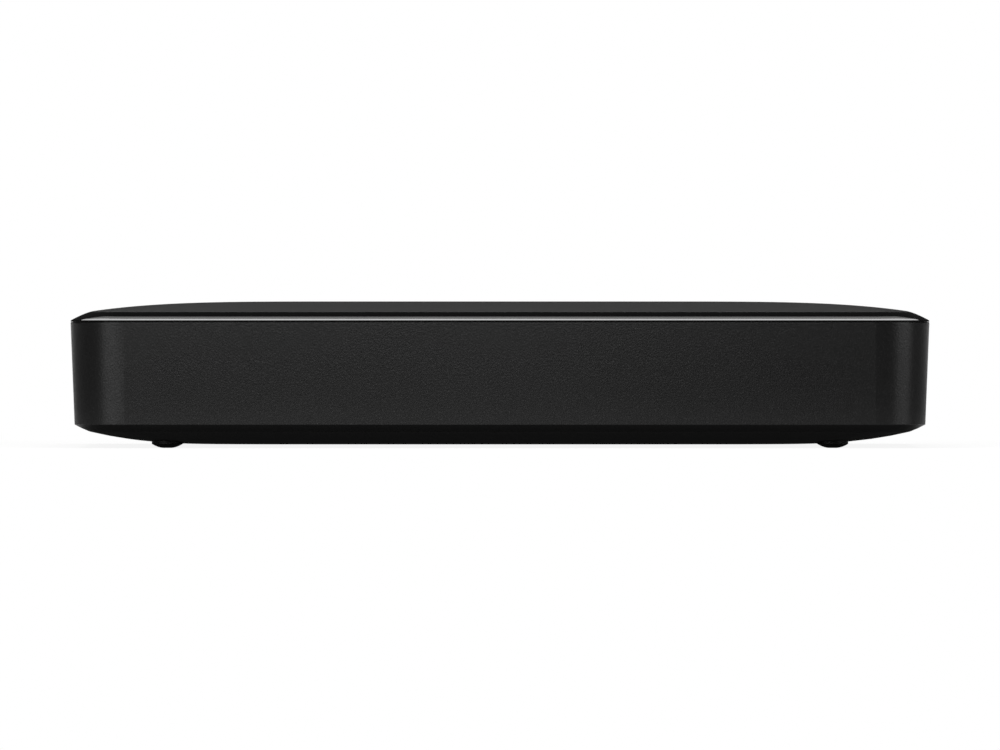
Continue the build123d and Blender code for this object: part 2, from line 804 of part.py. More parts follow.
# Laminated stator with radial teeth and shoes
magnet_inner = skirt_inner - magnet_wall
stator_outer = magnet_inner - stator_gap
with BuildPart() as motor_stator:
    with BuildSketch(spindle_plane.offset(stator_h)):
        Circle(boss_radius + stator_ring)
        with PolarLocations(0, stator_teeth):
            with Locations(((boss_radius + stator_outer) / 2, 0)):
                Rectangle(stator_outer - boss_radius - tooth_shoe / 2, tooth_width)
            add(sector_sketch(stator_outer - tooth_shoe, stator_outer, -shoe_angle / 2, shoe_angle / 2))
        Circle(boss_radius + press_gap, mode=Mode.SUBTRACT)
    extrude(amount=stator_height)
motor_stator.part.label = "motor_stator"
export_step(motor_stator.part, "parts/motor_stator.step")

# Copper winding round each stator tooth
winding_x = (boss_radius + stator_ring + stator_outer - tooth_shoe) / 2
with BuildPart() as stator_coils:
    with BuildSketch(spindle_plane.offset(stator_h - coil_wire)):
        with PolarLocations(0, stator_teeth):
            with Locations((winding_x, 0)):
                Rectangle(coil_length, tooth_width + 2 * coil_wire)
    extrude(amount=stator_height + 2 * coil_wire)
    with BuildSketch(spindle_plane.offset(stator_h - press_gap)):
        with PolarLocations(0, stator_teeth):
            with Locations((winding_x, 0)):
                Rectangle(coil_length + coil_wire, tooth_width + 2 * press_gap)
    extrude(amount=stator_height + 2 * press_gap, mode=Mode.SUBTRACT)
stator_coils.part.label = "stator_coils"
export_step(stator_coils.part, "parts/stator_coils.step")

# Spindle hub: shaft, rotor skirt, platter flange and centring barrel in one turned piece
hub_under_h = floor_h + hub_gap
hub_radius = platter_bore_radius - bore_gap
skirt_low_h = motor_floor_h + skirt_gap
with BuildPart() as spindle_hub:
    with BuildSketch(Plane(spindle_plane.origin, x_dir=(1, 0, 0), z_dir=(0, -1, 0))):
        with BuildLine():
            Polyline(
                (0, sleeve_foot_h + sleeve_plate + shaft_end_gap),
                (shaft_radius, sleeve_foot_h + sleeve_plate + shaft_end_gap),
                (shaft_radius, hub_under_h),
                (skirt_inner, hub_under_h),
                (skirt_inner, skirt_low_h),
                (skirt_outer, skirt_low_h),
                (skirt_outer, low_platter_h),
                (hub_radius, low_platter_h),
                (hub_radius, clamp_h - clamp_drop),
                (0, clamp_h - clamp_drop),
                close=True,
            )
        make_face()
    revolve(axis=Axis(spindle_plane.origin, (0, 0, 1)))
    with BuildSketch(spindle_plane.offset(clamp_h - clamp_drop)):
        Circle(clamp_screw_radius + press_gap)
    extrude(amount=-clamp_screw_length, mode=Mode.SUBTRACT)
spindle_hub.part.label = "spindle_hub"
export_step(spindle_hub.part, "parts/spindle_hub.step")

# Ring magnet inside the rotor skirt
with BuildPart() as rotor_magnet:
    with BuildSketch(spindle_plane.offset(skirt_low_h)):
        Circle(skirt_inner - press_gap)
        Circle(magnet_inner, mode=Mode.SUBTRACT)
    extrude(amount=magnet_height)
rotor_magnet.part.label = "rotor_magnet"
export_step(rotor_magnet.part, "parts/rotor_magnet.step")

# Two platters and the spacer between them
for platter_name, platter_h in (("lower_platter", low_platter_h), ("upper_platter", high_platter_h)):
    with BuildPart() as platter:
        with BuildSketch(spindle_plane.offset(platter_h)):
            Circle(platter_radius)
            Circle(platter_bore_radius, mode=Mode.SUBTRACT)
        extrude(amount=platter_thickness)
    platter.part.label = platter_name
    export_step(platter.part, "parts/" + platter_name + ".step")

with BuildPart() as platter_spacer:
    with BuildSketch(spindle_plane.offset(spacer_h)):
        Circle(platter_bore_radius + spacer_width)
        Circle(platter_bore_radius, mode=Mode.SUBTRACT)
    extrude(amount=disk_gap)
platter_spacer.part.label = "platter_spacer"
export_step(platter_spacer.part, "parts/platter_spacer.step")

# Dished clamp with six spanner holes, and its screw
clamp_radius = platter_bore_radius + spacer_width
with BuildPart() as disk_clamp:
    with BuildSketch(Plane(spindle_plane.origin, x_dir=(1, 0, 0), z_dir=(0, -1, 0))):
        with BuildLine():
            Polyline(
                (clamp_screw_radius + press_gap, clamp_h),
                (clamp_radius, clamp_h),
                (clamp_radius, clamp_h + clamp_thickness - clamp_bevel),
                (clamp_radius - spacer_width, clamp_h + clamp_thickness),
                (clamp_screw_radius + press_gap, clamp_h + clamp_thickness),
                close=True,
            )
        make_face()
    revolve(axis=Axis(spindle_plane.origin, (0, 0, 1)))
    with BuildSketch(spindle_plane.offset(clamp_h)):
        with PolarLocations(clamp_hole_circle, 6):
            Circle(clamp_hole_radius)
    extrude(amount=clamp_thickness, mode=Mode.SUBTRACT)
disk_clamp.part.label = "disk_clamp"
export_step(disk_clamp.part, "parts/disk_clamp.step")

with BuildPart() as clamp_screw:
    with BuildSketch(spindle_plane.offset(clamp_h + clamp_thickness)):
        Circle(clamp_head_radius)
    extrude(amount=clamp_head_height)
    with BuildSketch(spindle_plane.offset(clamp_h + clamp_thickness)):
        Circle(clamp_screw_radius)
    extrude(amount=-clamp_thickness - clamp_screw_length)
    with BuildSketch(spindle_plane.offset(clamp_h + clamp_thickness + clamp_head_height)):
        RegularPolygon(clamp_key, 6)
    extrude(amount=-clamp_key_depth, mode=Mode.SUBTRACT)
clamp_screw.part.label = "clamp_screw"
export_step(clamp_screw.part, "parts/clamp_screw.step")

# Fixed shaft that the arms swing on, pressed into the base, with a flange on the floor
with BuildPart() as pivot_shaft:
    with BuildSketch(pivot_plane.offset(pivot_foot_h)):
        Circle(pivot_radius)
    extrude(amount=rim_h - pivot_foot_h)
    with BuildSketch(pivot_plane.offset(floor_h)):
        Circle(pivot_radius + pivot_flange)
    extrude(amount=pivot_flange_height)
pivot_shaft.part.label = "pivot_shaft"
export_step(pivot_shaft.part, "parts/pivot_shaft.step")

# Bearing cartridge round the shaft, which swings with the arms
with BuildPart() as pivot_sleeve:
    with BuildSketch(pivot_plane.offset(low_arm_h)):
        Circle(bearing_radius)
        Circle(pivot_radius + pivot_gap, mode=Mode.SUBTRACT)
    extrude(amount=block_top_h - low_arm_h)
pivot_sleeve.part.label = "pivot_sleeve"
export_step(pivot_sleeve.part, "parts/pivot_sleeve.step")


def coil_sketch(grow):
    """Outline of the flat coil, a rounded trapezium behind the pivot, grown by a margin."""
    with BuildSketch() as outline:
        with BuildLine():
            Polyline(
                (-coil_start, coil_start_half),
                (-coil_end, coil_end_half),
                (-coil_end, -coil_end_half),
                (-coil_start, -coil_start_half),
                close=True,
            )
        make_face()
        fillet(outline.vertices(), coil_corner)
        if grow:
            offset(amount=grow, mode=Mode.REPLACE)
    return outline.sketch


# Arm block: a bored hub, three tapered arms with a slot each, and a fork that holds the coil
with BuildPart() as arm_block:
    with BuildSketch(arm_plane.offset(low_arm_h)):
        Circle(block_radius)
    extrude(amount=block_top_h - low_arm_h)
    for arm_h, arm_thickness in (
        (low_arm_h, outer_arm),
        (mid_arm_h, middle_arm),
        (high_arm_h, outer_arm),
    ):
        with BuildSketch(arm_plane.offset(arm_h)) as arm:
            Circle(arm_root_radius)
            with Locations((arm_reach, 0)):
                Circle(arm_tip_radius)
            make_hull()
            with Locations((arm_slot_start + arm_slot_length / 2, 0)):
                SlotOverall(arm_slot_length, arm_slot_width, mode=Mode.SUBTRACT)
        extrude(amount=arm_thickness)
    side_slope = (coil_end_half - coil_start_half) / (coil_end - coil_start)
    fork_start_half = coil_start_half + side_slope * (fork_start - coil_start) + fork_wall
    fork_end_half = coil_start_half + side_slope * (fork_end - coil_start) + fork_wall
    with BuildSketch(arm_plane.offset(voice_coil_h)):
        with BuildLine():
            Polyline(
                (-fork_start, fork_start_half),
                (-fork_end, fork_end_half),
                (-fork_end, -fork_end_half),
                (-fork_start, -fork_start_half),
                close=True,
            )
        make_face()
        add(coil_sketch(press_gap), mode=Mode.SUBTRACT)
    extrude(amount=coil_thickness)
    with BuildSketch(arm_plane.offset(low_arm_h)):
        Circle(bearing_radius + press_gap)
    extrude(amount=block_top_h - low_arm_h, mode=Mode.SUBTRACT)
arm_block.part.label = "arm_block"
export_step(arm_block.part, "parts/arm_block.step")

# Flat voice coil
with BuildPart() as voice_coil:
    with BuildSketch(arm_plane.offset(voice_coil_h)):
        add(coil_sketch(0))
        add(coil_sketch(-coil_winding), mode=Mode.SUBTRACT)
    extrude(amount=coil_thickness)
voice_coil.part.label = "voice_coil"
export_step(voice_coil.part, "parts/voice_coil.step")

# Four head suspensions: a tapered load beam with a lift tab at its end, and the slider that carries the head
with BuildPart() as head_suspensions:
    for beam_h, facing in (
        (low_arm_h + outer_arm, 1),
        (mid_arm_h, -1),
        (mid_arm_h + middle_arm, 1),
        (high_arm_h, -1),
    ):
        with BuildSketch(arm_plane.offset(beam_h)):
            with Locations((arm_reach, 0)):
                Circle(beam_root_radius)
            with Locations((head_reach, 0)):
                Circle(beam_tip_radius)
            make_hull()
            with Locations((head_reach + tab_length / 2, 0)):
                Rectangle(tab_length, tab_width)
        extrude(amount=facing * beam_thickness)
        with BuildSketch(arm_plane.offset(beam_h + facing * beam_thickness)):
            with Locations((head_reach, 0)):
                Rectangle(slider_length, slider_width)
        extrude(amount=facing * slider_height)
head_suspensions.part.label = "head_suspensions"
export_step(head_suspensions.part, "parts/head_suspensions.step")

# Voice-coil yokes and magnets above and below the coil's sweep
yoke_from = coil_angle - yoke_margin
yoke_to = coil_angle + swing_range + yoke_margin
with BuildPart() as lower_yoke:
    with BuildSketch(pivot_plane.offset(yoke_low_h)):
        add(sector_sketch(yoke_inner, yoke_outer, yoke_from - leg_angle, yoke_to + leg_angle))
    extrude(amount=yoke_thickness)
lower_yoke.part.label = "lower_yoke"
export_step(lower_yoke.part, "parts/lower_yoke.step")

for magnet_name, magnet_h in (("lower_magnet", magnet_low_h), ("upper_magnet", magnet_high_h)):
    with BuildPart() as magnet:
        with BuildSketch(pivot_plane.offset(magnet_h)):
            add(
                sector_sketch(
                    coil_start,
                    coil_end,
                    coil_angle - magnet_margin,
                    coil_angle + swing_range + magnet_margin,
                )
            )
        extrude(amount=vcm_magnet)
    magnet.part.label = magnet_name
    export_step(magnet.part, "parts/" + magnet_name + ".step")

with BuildPart() as upper_yoke:
    with BuildSketch(pivot_plane.offset(yoke_high_h)):
        add(sector_sketch(yoke_inner, yoke_outer, yoke_from - leg_angle, yoke_to + leg_angle))
    extrude(amount=yoke_thickness)
    with BuildSketch(pivot_plane.offset(magnet_low_h)):
        add(sector_sketch(leg_inner, yoke_outer, yoke_from - leg_angle, yoke_from))
        add(sector_sketch(leg_inner, yoke_outer, yoke_to, yoke_to + leg_angle))
    extrude(amount=yoke_high_h - magnet_low_h)
upper_yoke.part.label = "upper_yoke"
export_step(upper_yoke.part, "parts/upper_yoke.step")

# Parking ramp: a comb whose slots take the four lift tabs
with BuildPart() as load_ramp:
    with BuildSketch(arm_plane.offset(floor_h)):
        add(sector_sketch(ramp_inner, ramp_outer, -ramp_back_angle, ramp_front_angle))
    extrude(amount=block_top_h - ramp_top_gap - floor_h)
    for beam_h in (
        low_arm_h + outer_arm,
        mid_arm_h - beam_thickness,
        mid_arm_h + middle_arm,
        high_arm_h - beam_thickness,
    ):
        with BuildSketch(arm_plane.offset(beam_h - ramp_tab_gap)):
            Circle(tab_end + ramp_slot_gap)
        extrude(amount=beam_thickness + 2 * ramp_tab_gap, mode=Mode.SUBTRACT)
    with BuildSketch(spindle_plane.offset(floor_h)):
        Circle(platter_radius + ramp_edge_gap)
    extrude(amount=rim_h - floor_h, mode=Mode.SUBTRACT)
load_ramp.part.label = "load_ramp"
export_step(load_ramp.part, "parts/load_ramp.step")

# Bracket and plug that take the arm's flexible circuit through the base
bracket_mid_y = pivot_y + bracket_y + bracket_depth / 2
with BuildPart() as flex_bracket:
    with BuildSketch(drive_plane.offset(floor_h)):
        with Locations((bracket_x, bracket_mid_y)):
            RectangleRounded(bracket_length, bracket_depth, bracket_wall)
    extrude(amount=bracket_plate)
    with BuildSketch(drive_plane.offset(floor_h + bracket_plate)):
        with Locations((bracket_x, bracket_mid_y + bracket_depth / 2 - bracket_wall)):
            Rectangle(bracket_length - 2 * bracket_wall, bracket_wall)
    extrude(amount=bracket_height)
    with BuildSketch(drive_plane.offset(floor_h + bracket_plate)):
        with Locations((bracket_x, bracket_mid_y - plug_inset / 2)):
            Rectangle(bracket_length - 2 * bracket_wall - plug_inset, plug_depth)
    extrude(amount=plug_height)
flex_bracket.part.label = "flex_bracket"
export_step(flex_bracket.part, "parts/flex_bracket.step")

# Flexible circuit: a loose ribbon from the plug to the side of the arm block
flex_start = (
    bracket_x + bracket_length / 2 - bracket_wall - plug_inset / 2 + flex_gap,
    bracket_mid_y - plug_inset / 2,
)
flex_radius = block_radius + flex_gap + flex_thickness / 2
flex_turn = (cos(radians(flex_angle)), sin(radians(flex_angle)))
flex_end = (pivot_x + flex_radius * flex_turn[0], pivot_y + flex_radius * flex_turn[1])
with BuildPart() as flex_circuit:
    with BuildSketch(drive_plane.offset(floor_h + bracket_plate)):
        with BuildLine():
            Spline(flex_start, flex_end, tangents=((1, 0), (flex_turn[1], -flex_turn[0])))
        trace(line_width=flex_thickness)
    extrude(amount=flex_width)
flex_circuit.part.label = "flex_circuit"
export_step(flex_circuit.part, "parts/flex_circuit.step")

# Recirculation filter: a small pad that stands beside the disks
with BuildPart() as air_filter:
    with BuildSketch(Plane((filter_x, drive_y + pivot_y + filter_y, drive_z + floor_h))):
        RectangleRounded(filter_length, filter_depth, filter_corner, rotation=filter_angle)
    extrude(amount=filter_height)
air_filter.part.label = "air_filter"
export_step(air_filter.part, "parts/air_filter.step")

# Circuit board with clearance for the pivot boss
with BuildPart() as circuit_board:
    with BuildSketch(drive_plane.offset(board_h)):
        with Locations((0, board_y)):
            RectangleRounded(board_width, board_length, board_corner)
        with Locations((pivot_x, pivot_y)):
            Circle(pivot_boss_radius + board_clear, mode=Mode.SUBTRACT)
        with Locations(*board_screw_spots):
            Circle(board_screw_radius + board_screw_gap, mode=Mode.SUBTRACT)
    extrude(amount=board_thickness)
circuit_board.part.label = "circuit_board"
export_step(circuit_board.part, "parts/circuit_board.step")

# Four board screws, heads down
with BuildPart() as board_screws:
    with BuildSketch(drive_plane.offset(board_h)):
        with Locations(*board_screw_spots):
            Circle(board_screw_radius)
    extrude(amount=board_screw_length)
    with BuildSketch(drive_plane.offset(board_h)):
        with Locations(*board_screw_spots):
            Circle(board_head_radius)
    extrude(amount=-board_head_height)
board_screws.part.label = "board_screws"
export_step(board_screws.part, "parts/board_screws.step")

# Insulating sheet between the board's chips and the base
with BuildPart() as board_insulator:
    with BuildSketch(drive_plane.offset(board_pocket - insulator_thickness)):
        with Locations((0, board_front_y + (notch_front - board_front_y - insulator_inset) / 2)):
            RectangleRounded(
                board_width - 2 * insulator_inset,
                notch_front - board_front_y - 2 * insulator_inset,
                board_corner,
            )
        with Locations((pivot_x, pivot_y)):
            Circle(pivot_boss_radius + board_clear, mode=Mode.SUBTRACT)
        with Locations(*board_screw_spots):
            Circle(board_boss_radius + board_clear, mode=Mode.SUBTRACT)
    extrude(amount=insulator_thickness)
board_insulator.part.label = "board_insulator"
export_step(board_insulator.part, "parts/board_insulator.step")

# Chips on the board's inner side
for chip_name, chip_x, chip_y, chip_length, chip_width, chip_height in (
    ("controller_chip", controller_x, controller_y, controller_size, controller_size, controller_height),
    ("motor_driver_chip", driver_x, driver_y, driver_size, driver_size, driver_height),
    ("memory_chip", memory_x, memory_y, memory_length, memory_width, memory_height),
):
    with BuildPart() as chip:
        with BuildSketch(drive_plane.offset(board_top_h)):
            with Locations((chip_x, board_front_y + chip_y)):
                Rectangle(chip_length, chip_width)
        extrude(amount=chip_height)
        chamfer(chip.edges().group_by(Axis.Z)[-1], chip_bevel)
    chip.part.label = chip_name
    export_step(chip.part, "parts/" + chip_name + ".step")

# Socket: formed steel shell, moulded tongues and ten contacts
mouth_y = case_length / 2 - draft_inset(socket_z) - socket_recess
socket_plane = Plane((socket_x, mouth_y, socket_z), x_dir=(1, 0, 0), z_dir=(0, -1, 0))
wide_x = (socket_split - socket_width / 2) / 2
narrow_x = (socket_split + socket_width / 2) / 2
with BuildPart() as usb_shell:
    with BuildSketch(socket_plane):
        add(socket_sketch(0))
        add(socket_sketch(-socket_sheet), mode=Mode.SUBTRACT)
    extrude(amount=socket_depth)
usb_shell.part.label = "usb_shell"
export_step(usb_shell.part, "parts/usb_shell.step")

with BuildPart() as usb_tongue:
    with BuildSketch(socket_plane.offset(socket_depth - tongue_block)):
        add(socket_sketch(-socket_sheet - press_gap))
    extrude(amount=tongue_block)
    with BuildSketch(socket_plane.offset(tongue_front)):
        with Locations((wide_x, 0)):
            Rectangle(tongue_wide, tongue_thickness)
        with Locations((narrow_x, 0)):
            Rectangle(tongue_narrow, tongue_thickness)
    extrude(amount=socket_depth - tongue_block - tongue_front)
usb_tongue.part.label = "usb_tongue"
export_step(usb_tongue.part, "parts/usb_tongue.step")

contact_y = -tongue_thickness / 2 - contact_thickness / 2
with BuildPart() as usb_contacts:
    with BuildSketch(socket_plane.offset(socket_depth - tongue_block - contact_length)):
        for tongue_x, tongue_width in ((wide_x, tongue_wide), (narrow_x, tongue_narrow)):
            with Locations((tongue_x, contact_y)):
                with GridLocations((tongue_width - 2 * contact_width) / (contact_count - 1), 1, contact_count, 1):
                    Rectangle(contact_width, contact_thickness)
    extrude(amount=contact_length)
usb_contacts.part.label = "usb_contacts"
export_step(usb_contacts.part, "parts/usb_contacts.step")

# Status light on the board's rear edge, and the light pipe that carries it through the end wall
with BuildPart() as status_led:
    with BuildSketch(drive_plane.offset(board_top_h)):
        with Locations((led_x, board_rear_y - led_depth / 2)):
            Rectangle(led_length, led_depth)
    extrude(amount=led_height)
status_led.part.label = "status_led"
export_step(status_led.part, "parts/status_led.step")

pipe_start = drive_y + drive_length / 2 + pipe_led_gap
pipe_end = case_length / 2 - draft_inset(pipe_z)
with BuildPart() as light_pipe:
    with BuildSketch(Plane((led_x, pipe_start, pipe_z), x_dir=(-1, 0, 0), z_dir=(0, 1, 0))):
        Circle(pipe_radius)
    extrude(amount=pipe_end - pipe_start)
    with BuildSketch(Plane((led_x, pipe_face - pipe_gap, pipe_z), x_dir=(-1, 0, 0), z_dir=(0, 1, 0))):
        Circle(pipe_radius + pipe_flange)
    extrude(amount=-pipe_flange_length)
light_pipe.part.label = "light_pipe"
export_step(light_pipe.part, "parts/light_pipe.step")
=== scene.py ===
"""Looks of a portable hard drive: a grained black case, a crowned lid with a glossy bevel, rubber feet,
and the finishes of the disk mechanism and circuit board inside. Metres, in the frame of the solids."""

import math

import bpy
import numpy as np
from bpy.props import FloatProperty, FloatVectorProperty, PointerProperty
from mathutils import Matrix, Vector


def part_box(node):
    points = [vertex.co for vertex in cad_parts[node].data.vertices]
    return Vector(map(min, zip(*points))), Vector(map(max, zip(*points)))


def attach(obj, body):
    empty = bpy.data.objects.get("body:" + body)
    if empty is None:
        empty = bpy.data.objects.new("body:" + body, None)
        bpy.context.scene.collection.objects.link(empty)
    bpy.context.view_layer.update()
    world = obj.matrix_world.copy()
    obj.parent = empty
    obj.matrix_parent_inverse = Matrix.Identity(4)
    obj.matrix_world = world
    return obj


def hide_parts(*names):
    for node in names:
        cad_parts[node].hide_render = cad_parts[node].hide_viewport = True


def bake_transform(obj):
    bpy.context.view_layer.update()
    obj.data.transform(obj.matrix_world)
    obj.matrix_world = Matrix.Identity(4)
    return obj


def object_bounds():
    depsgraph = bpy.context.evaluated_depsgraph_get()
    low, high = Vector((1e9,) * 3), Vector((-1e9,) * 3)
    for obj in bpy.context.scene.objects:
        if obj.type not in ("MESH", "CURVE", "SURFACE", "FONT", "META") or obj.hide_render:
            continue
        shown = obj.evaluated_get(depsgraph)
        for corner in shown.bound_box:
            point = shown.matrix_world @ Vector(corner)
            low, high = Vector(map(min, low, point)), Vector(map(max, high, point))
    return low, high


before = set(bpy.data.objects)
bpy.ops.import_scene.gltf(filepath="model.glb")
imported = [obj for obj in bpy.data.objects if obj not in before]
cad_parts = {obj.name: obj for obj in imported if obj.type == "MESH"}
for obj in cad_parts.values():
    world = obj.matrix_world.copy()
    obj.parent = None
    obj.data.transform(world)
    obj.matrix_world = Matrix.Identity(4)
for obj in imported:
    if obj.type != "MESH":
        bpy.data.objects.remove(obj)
cad_low, cad_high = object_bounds()

bl_info = {
    "name": "Portable Hard Drive Looks",
    "version": (1, 0, 0),
    "blender": (4, 5, 0),
    "location": "3D View > Sidebar > Hard Drive",
    "description": "Builds the case surfaces, finishes and studio of a portable hard drive",
    "category": "Object",
}

MM = 0.001
HOUSING = "housing"

# Places that the frame gives
lid_low, lid_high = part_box("top_cover")
tub_low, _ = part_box("bottom_case")
mechanism_low, mechanism_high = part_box("drive_cover")
hub_low, hub_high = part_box("spindle_hub")
sleeve_low, sleeve_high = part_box("pivot_sleeve")
coil_low, coil_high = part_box("voice_coil")
ribbon_low, ribbon_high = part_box("flex_circuit")
mechanism_centre = (mechanism_low + mechanism_high) / 2
spindle_centre = (hub_low + hub_high) / 2
pivot_centre = (sleeve_low + sleeve_high) / 2
coil_centre = (coil_low + coil_high) / 2
FEET = sorted(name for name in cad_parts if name.startswith("foot_"))
SHOCK_MOUNTS = sorted(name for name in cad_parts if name.startswith("shock_mount"))

# Blend between two finishes on one piece, and the grain of the top as a share of the wall's
EDGE_BLEND = 0.04 * MM
TOP_GRAIN_SHARE = 0.5


def colour_property(name, description, default):
    """A linear colour that the sidebar shows as a swatch."""
    return FloatVectorProperty(
        name=name, description=description, subtype="COLOR", size=3, min=0.0, max=1.0, default=default
    )


def length_property(name, description, millimetres):
    """A length, given here in millimetres and kept in metres."""
    settings = {"subtype": "DISTANCE", "unit": "LENGTH", "precision": 6}
    return FloatProperty(name=name, description=description, default=millimetres * MM, **settings)


def number_property(name, description, default):
    """A plain number, such as a slope, a power or a lamp's radiance."""
    return FloatProperty(name=name, description=description, default=default)


def share_property(name, description, default):
    """A plain share from nothing to all."""
    return FloatProperty(
        name=name, description=description, subtype="FACTOR", min=0.0, max=1.0, default=default
    )


def angle_property(name, description, degrees):
    """An angle, given here in degrees and kept in radians."""
    return FloatProperty(
        name=name, description=description, subtype="ANGLE", unit="ROTATION", default=math.radians(degrees)
    )


class LidShape(bpy.types.PropertyGroup):
    """Sizes of the crowned lid, which repeat those of its solid."""

    corner: length_property("Corner", "Corner radius of the rim outline", 5.2)
    bevel_width: length_property("Bevel width", "Width of the glossy bevel", 2.0)
    bevel_rise: length_property("Bevel rise", "Height of the glossy bevel", 0.88)
    bevel_slope: number_property("Bevel slope", "Slope of the bevel where it leaves the rim", 0.566)
    crease_reach: length_property("Crease reach", "Reach of the soft crease to each side", 0.32)
    crown_rise: length_property("Crown rise", "Height of the crown above the bevel", 0.94)
    crown_run: length_property("Crown run", "Distance over which the crown rises", 25.0)
    crown_power: number_property("Crown power", "How quickly the crown flattens out", 4.0)
    corner_spread: number_property("Corner spread", "Growth of the corner radius over the crown", 0.35)
    lip_start: length_property("Lip start", "Distance from the rim in to the lip", 1.7)
    lip_wall: length_property("Lip wall", "Thickness of the lip", 0.9)
    lip_depth: length_property("Lip depth", "Reach of the lip below the seat", 2.2)
    wall: length_property("Wall", "Thickness of the lid", 1.2)
    rim_round: length_property("Rim round", "Radius of the rim's outer edge", 0.01)
    # The bead fills the seam under the rim; its near-black colour in the lid's material is painted shade
    bead_inset: length_property("Bead inset", "Distance from the rim in to the bead in the seam", 0.02)
    bead_width: length_property("Bead width", "Width of the bead under the rim", 0.17)
    bead_depth: length_property("Bead depth", "Reach of the bead below the seat", 0.12)
    snap_proud: length_property("Snap proud", "How far a snap ridge stands out of the lip", 0.32)
    snap_height: length_property("Snap height", "Height of a snap ridge", 0.8)
    snap_drop: length_property("Snap drop", "Distance from the seat down to a snap ridge", 0.5)
    snap_length: length_property("Snap length", "Length of a snap ridge", 9.0)
    snap_pitch: length_property("Snap pitch", "Distance between snap ridges", 32.0)
    rib_reach: length_property("Rib reach", "Distance of a hold-down rib from the middle", 20.0)
    rib_width: length_property("Rib width", "Width of a hold-down rib", 1.0)
    rib_length: length_property("Rib length", "Length of a hold-down rib", 76.0)
    rib_gap: length_property("Rib gap", "Gap between a rib and the mechanism", 0.2)
    rib_root: length_property("Rib root", "How far a rib goes into the ceiling", 0.2)


class FootShape(bpy.types.PropertyGroup):
    """Sizes of a rubber foot that its box doesn't give."""

    land: length_property("Land", "Radius of the flat under a foot", 0.35)
    dome: length_property("Dome", "Height of a foot's rounded underside", 0.39)
    dome_middle: length_property("Dome middle", "Height of the underside half way out to its edge", 0.11)
    edge_round: length_property("Edge round", "Radius of a foot's upper edge", 0.08)


class RibbonShape(bpy.types.PropertyGroup):
    """Route and section of the flexible circuit between the bracket and the arm."""

    start_y: length_property("Start", "Where along the drive the ribbon leaves its bracket", 36.654)
    end_radius: length_property("End radius", "Distance from the arm's axis to the ribbon's end", 6.295)
    end_angle: angle_property("End angle", "Angle round the arm's axis of the ribbon's end", 125.0)
    thickness: length_property("Thickness", "Thickness of the ribbon", 0.15)


class CaseFinish(bpy.types.PropertyGroup):
    """Colours and grain of the outside of the case."""

    side_colour: colour_property("Side colour", "Grained side wall", (0.009, 0.009, 0.009))
    # Painted shade: the underside's colour is darker than the wall's, standing for the shade of the
    # down-facing underside
    shaded_belly_colour: colour_property("Underside colour", "Smooth underside", (0.0035, 0.0035, 0.0035))
    top_colour: colour_property("Top colour", "Matte top", (0.043, 0.043, 0.043))
    bevel_colour: colour_property("Bevel colour", "Glossy bevel", (0.004, 0.004, 0.004))
    # Painted shade: near-black colour of the bead in the seam, standing for the shadow in the seam gap
    seam_shade_colour: colour_property("Seam colour", "Dull seam under the bevel", (0.0006, 0.0006, 0.0006))
    foot_colour: colour_property("Foot colour", "Rubber feet", (0.003, 0.003, 0.003))
    grain_size: length_property("Grain size", "Width of a grain on the side wall", 0.17)
    grain_depth: length_property("Grain depth", "Height of a grain on the side wall", 0.01)
    belly_rise: length_property("Underside rise", "Height of the curved underside below the wall", 1.94)
    side_roughness: share_property("Side roughness", "Roughness of the side wall", 0.28)
    belly_roughness: share_property("Underside roughness", "Roughness of the underside", 0.5)
    top_roughness: share_property("Top roughness", "Roughness of the matte top", 0.62)
    bevel_roughness: share_property("Bevel roughness", "Roughness of the bevel under its lacquer", 0.06)
    gloss_drop: length_property("Gloss drop", "Distance from the crease down to the gloss", 0.075)


class StudioSetup(bpy.types.PropertyGroup):
    """Camera and light levels."""

    lens: FloatProperty(
        name="Lens", description="Focal length of the long lens", subtype="DISTANCE_CAMERA", default=1250.0
    )
    field_width: length_property("Field width", "Width of the picture where the front corners start", 95.465)
    aim_height: length_property("Aim height", "Height above the floor of the picture's middle", 6.974)
    eye_height: length_property("Eye height", "Height of the camera above the floor", 13.4)
    left_light: number_property("Left light", "Radiance of the left softbox", 3.1)
    fill_light: number_property("Fill light", "Radiance of the small front lamp", 2.5)
    right_light: number_property("Right light", "Radiance of the right softbox", 2.3)
    top_light: number_property("Top light", "Radiance of the overhead softbox", 1.0)
    arch_light: number_property("Arch light", "Radiance of the arched ribbon", 3.95)
    arch_edge_light: number_property("Arch edge", "Radiance of the arch's edge", 0.88)
    arch_slope: angle_property("Arch slope", "Slope of the bevel that mirrors the start of the arch", 27.95)
    arch_edge_slope: angle_property("Edge slope", "Slope of the bevel that mirrors the arch's edge", 25.65)
    arch_reach: angle_property("Arch reach", "How far the arch goes on past the slope of the rim", 5.0)
    arch_distance: length_property("Arch distance", "Distance from the bevel to the arch", 500.0)
    ambient: number_property("Ambient", "Radiance of the dim studio above", 0.02)
    shadow_share: share_property("Shadow share", "How much of the near floor is real light", 0.22)
    floor_level: share_property("Floor level", "Radiance of a white floor under these lamps", 0.5)
    floor_mirror: share_property("Floor mirror", "White of the near floor as polished surfaces see it", 0.03)
    bounce_light: share_property("Bounce light", "White of the floor beside the walls as they see it", 0.8)
    bounce_near: length_property("Bounce near", "How far from the walls that light is even", 10.0)
    bounce_far: length_property("Bounce far", "How far from the walls that light has gone", 30.0)


# Meshes from arrays


def face_starts(sizes):
    """Where each face starts in the flat array of corners."""
    return np.cumsum(sizes) - sizes


def facing_out(points, loops, sizes):
    """Faces of a closed shell turned so that its enclosed volume is positive, all at once."""
    starts = face_starts(sizes)
    first = np.repeat(loops[starts], sizes)
    following = np.roll(loops, -1)
    following[starts + sizes - 1] = loops[starts]
    volume = np.sum(points[first] * np.cross(points[loops], points[following]))
    return (points, loops, sizes) if volume > 0 else (points, loops[::-1], sizes[::-1])


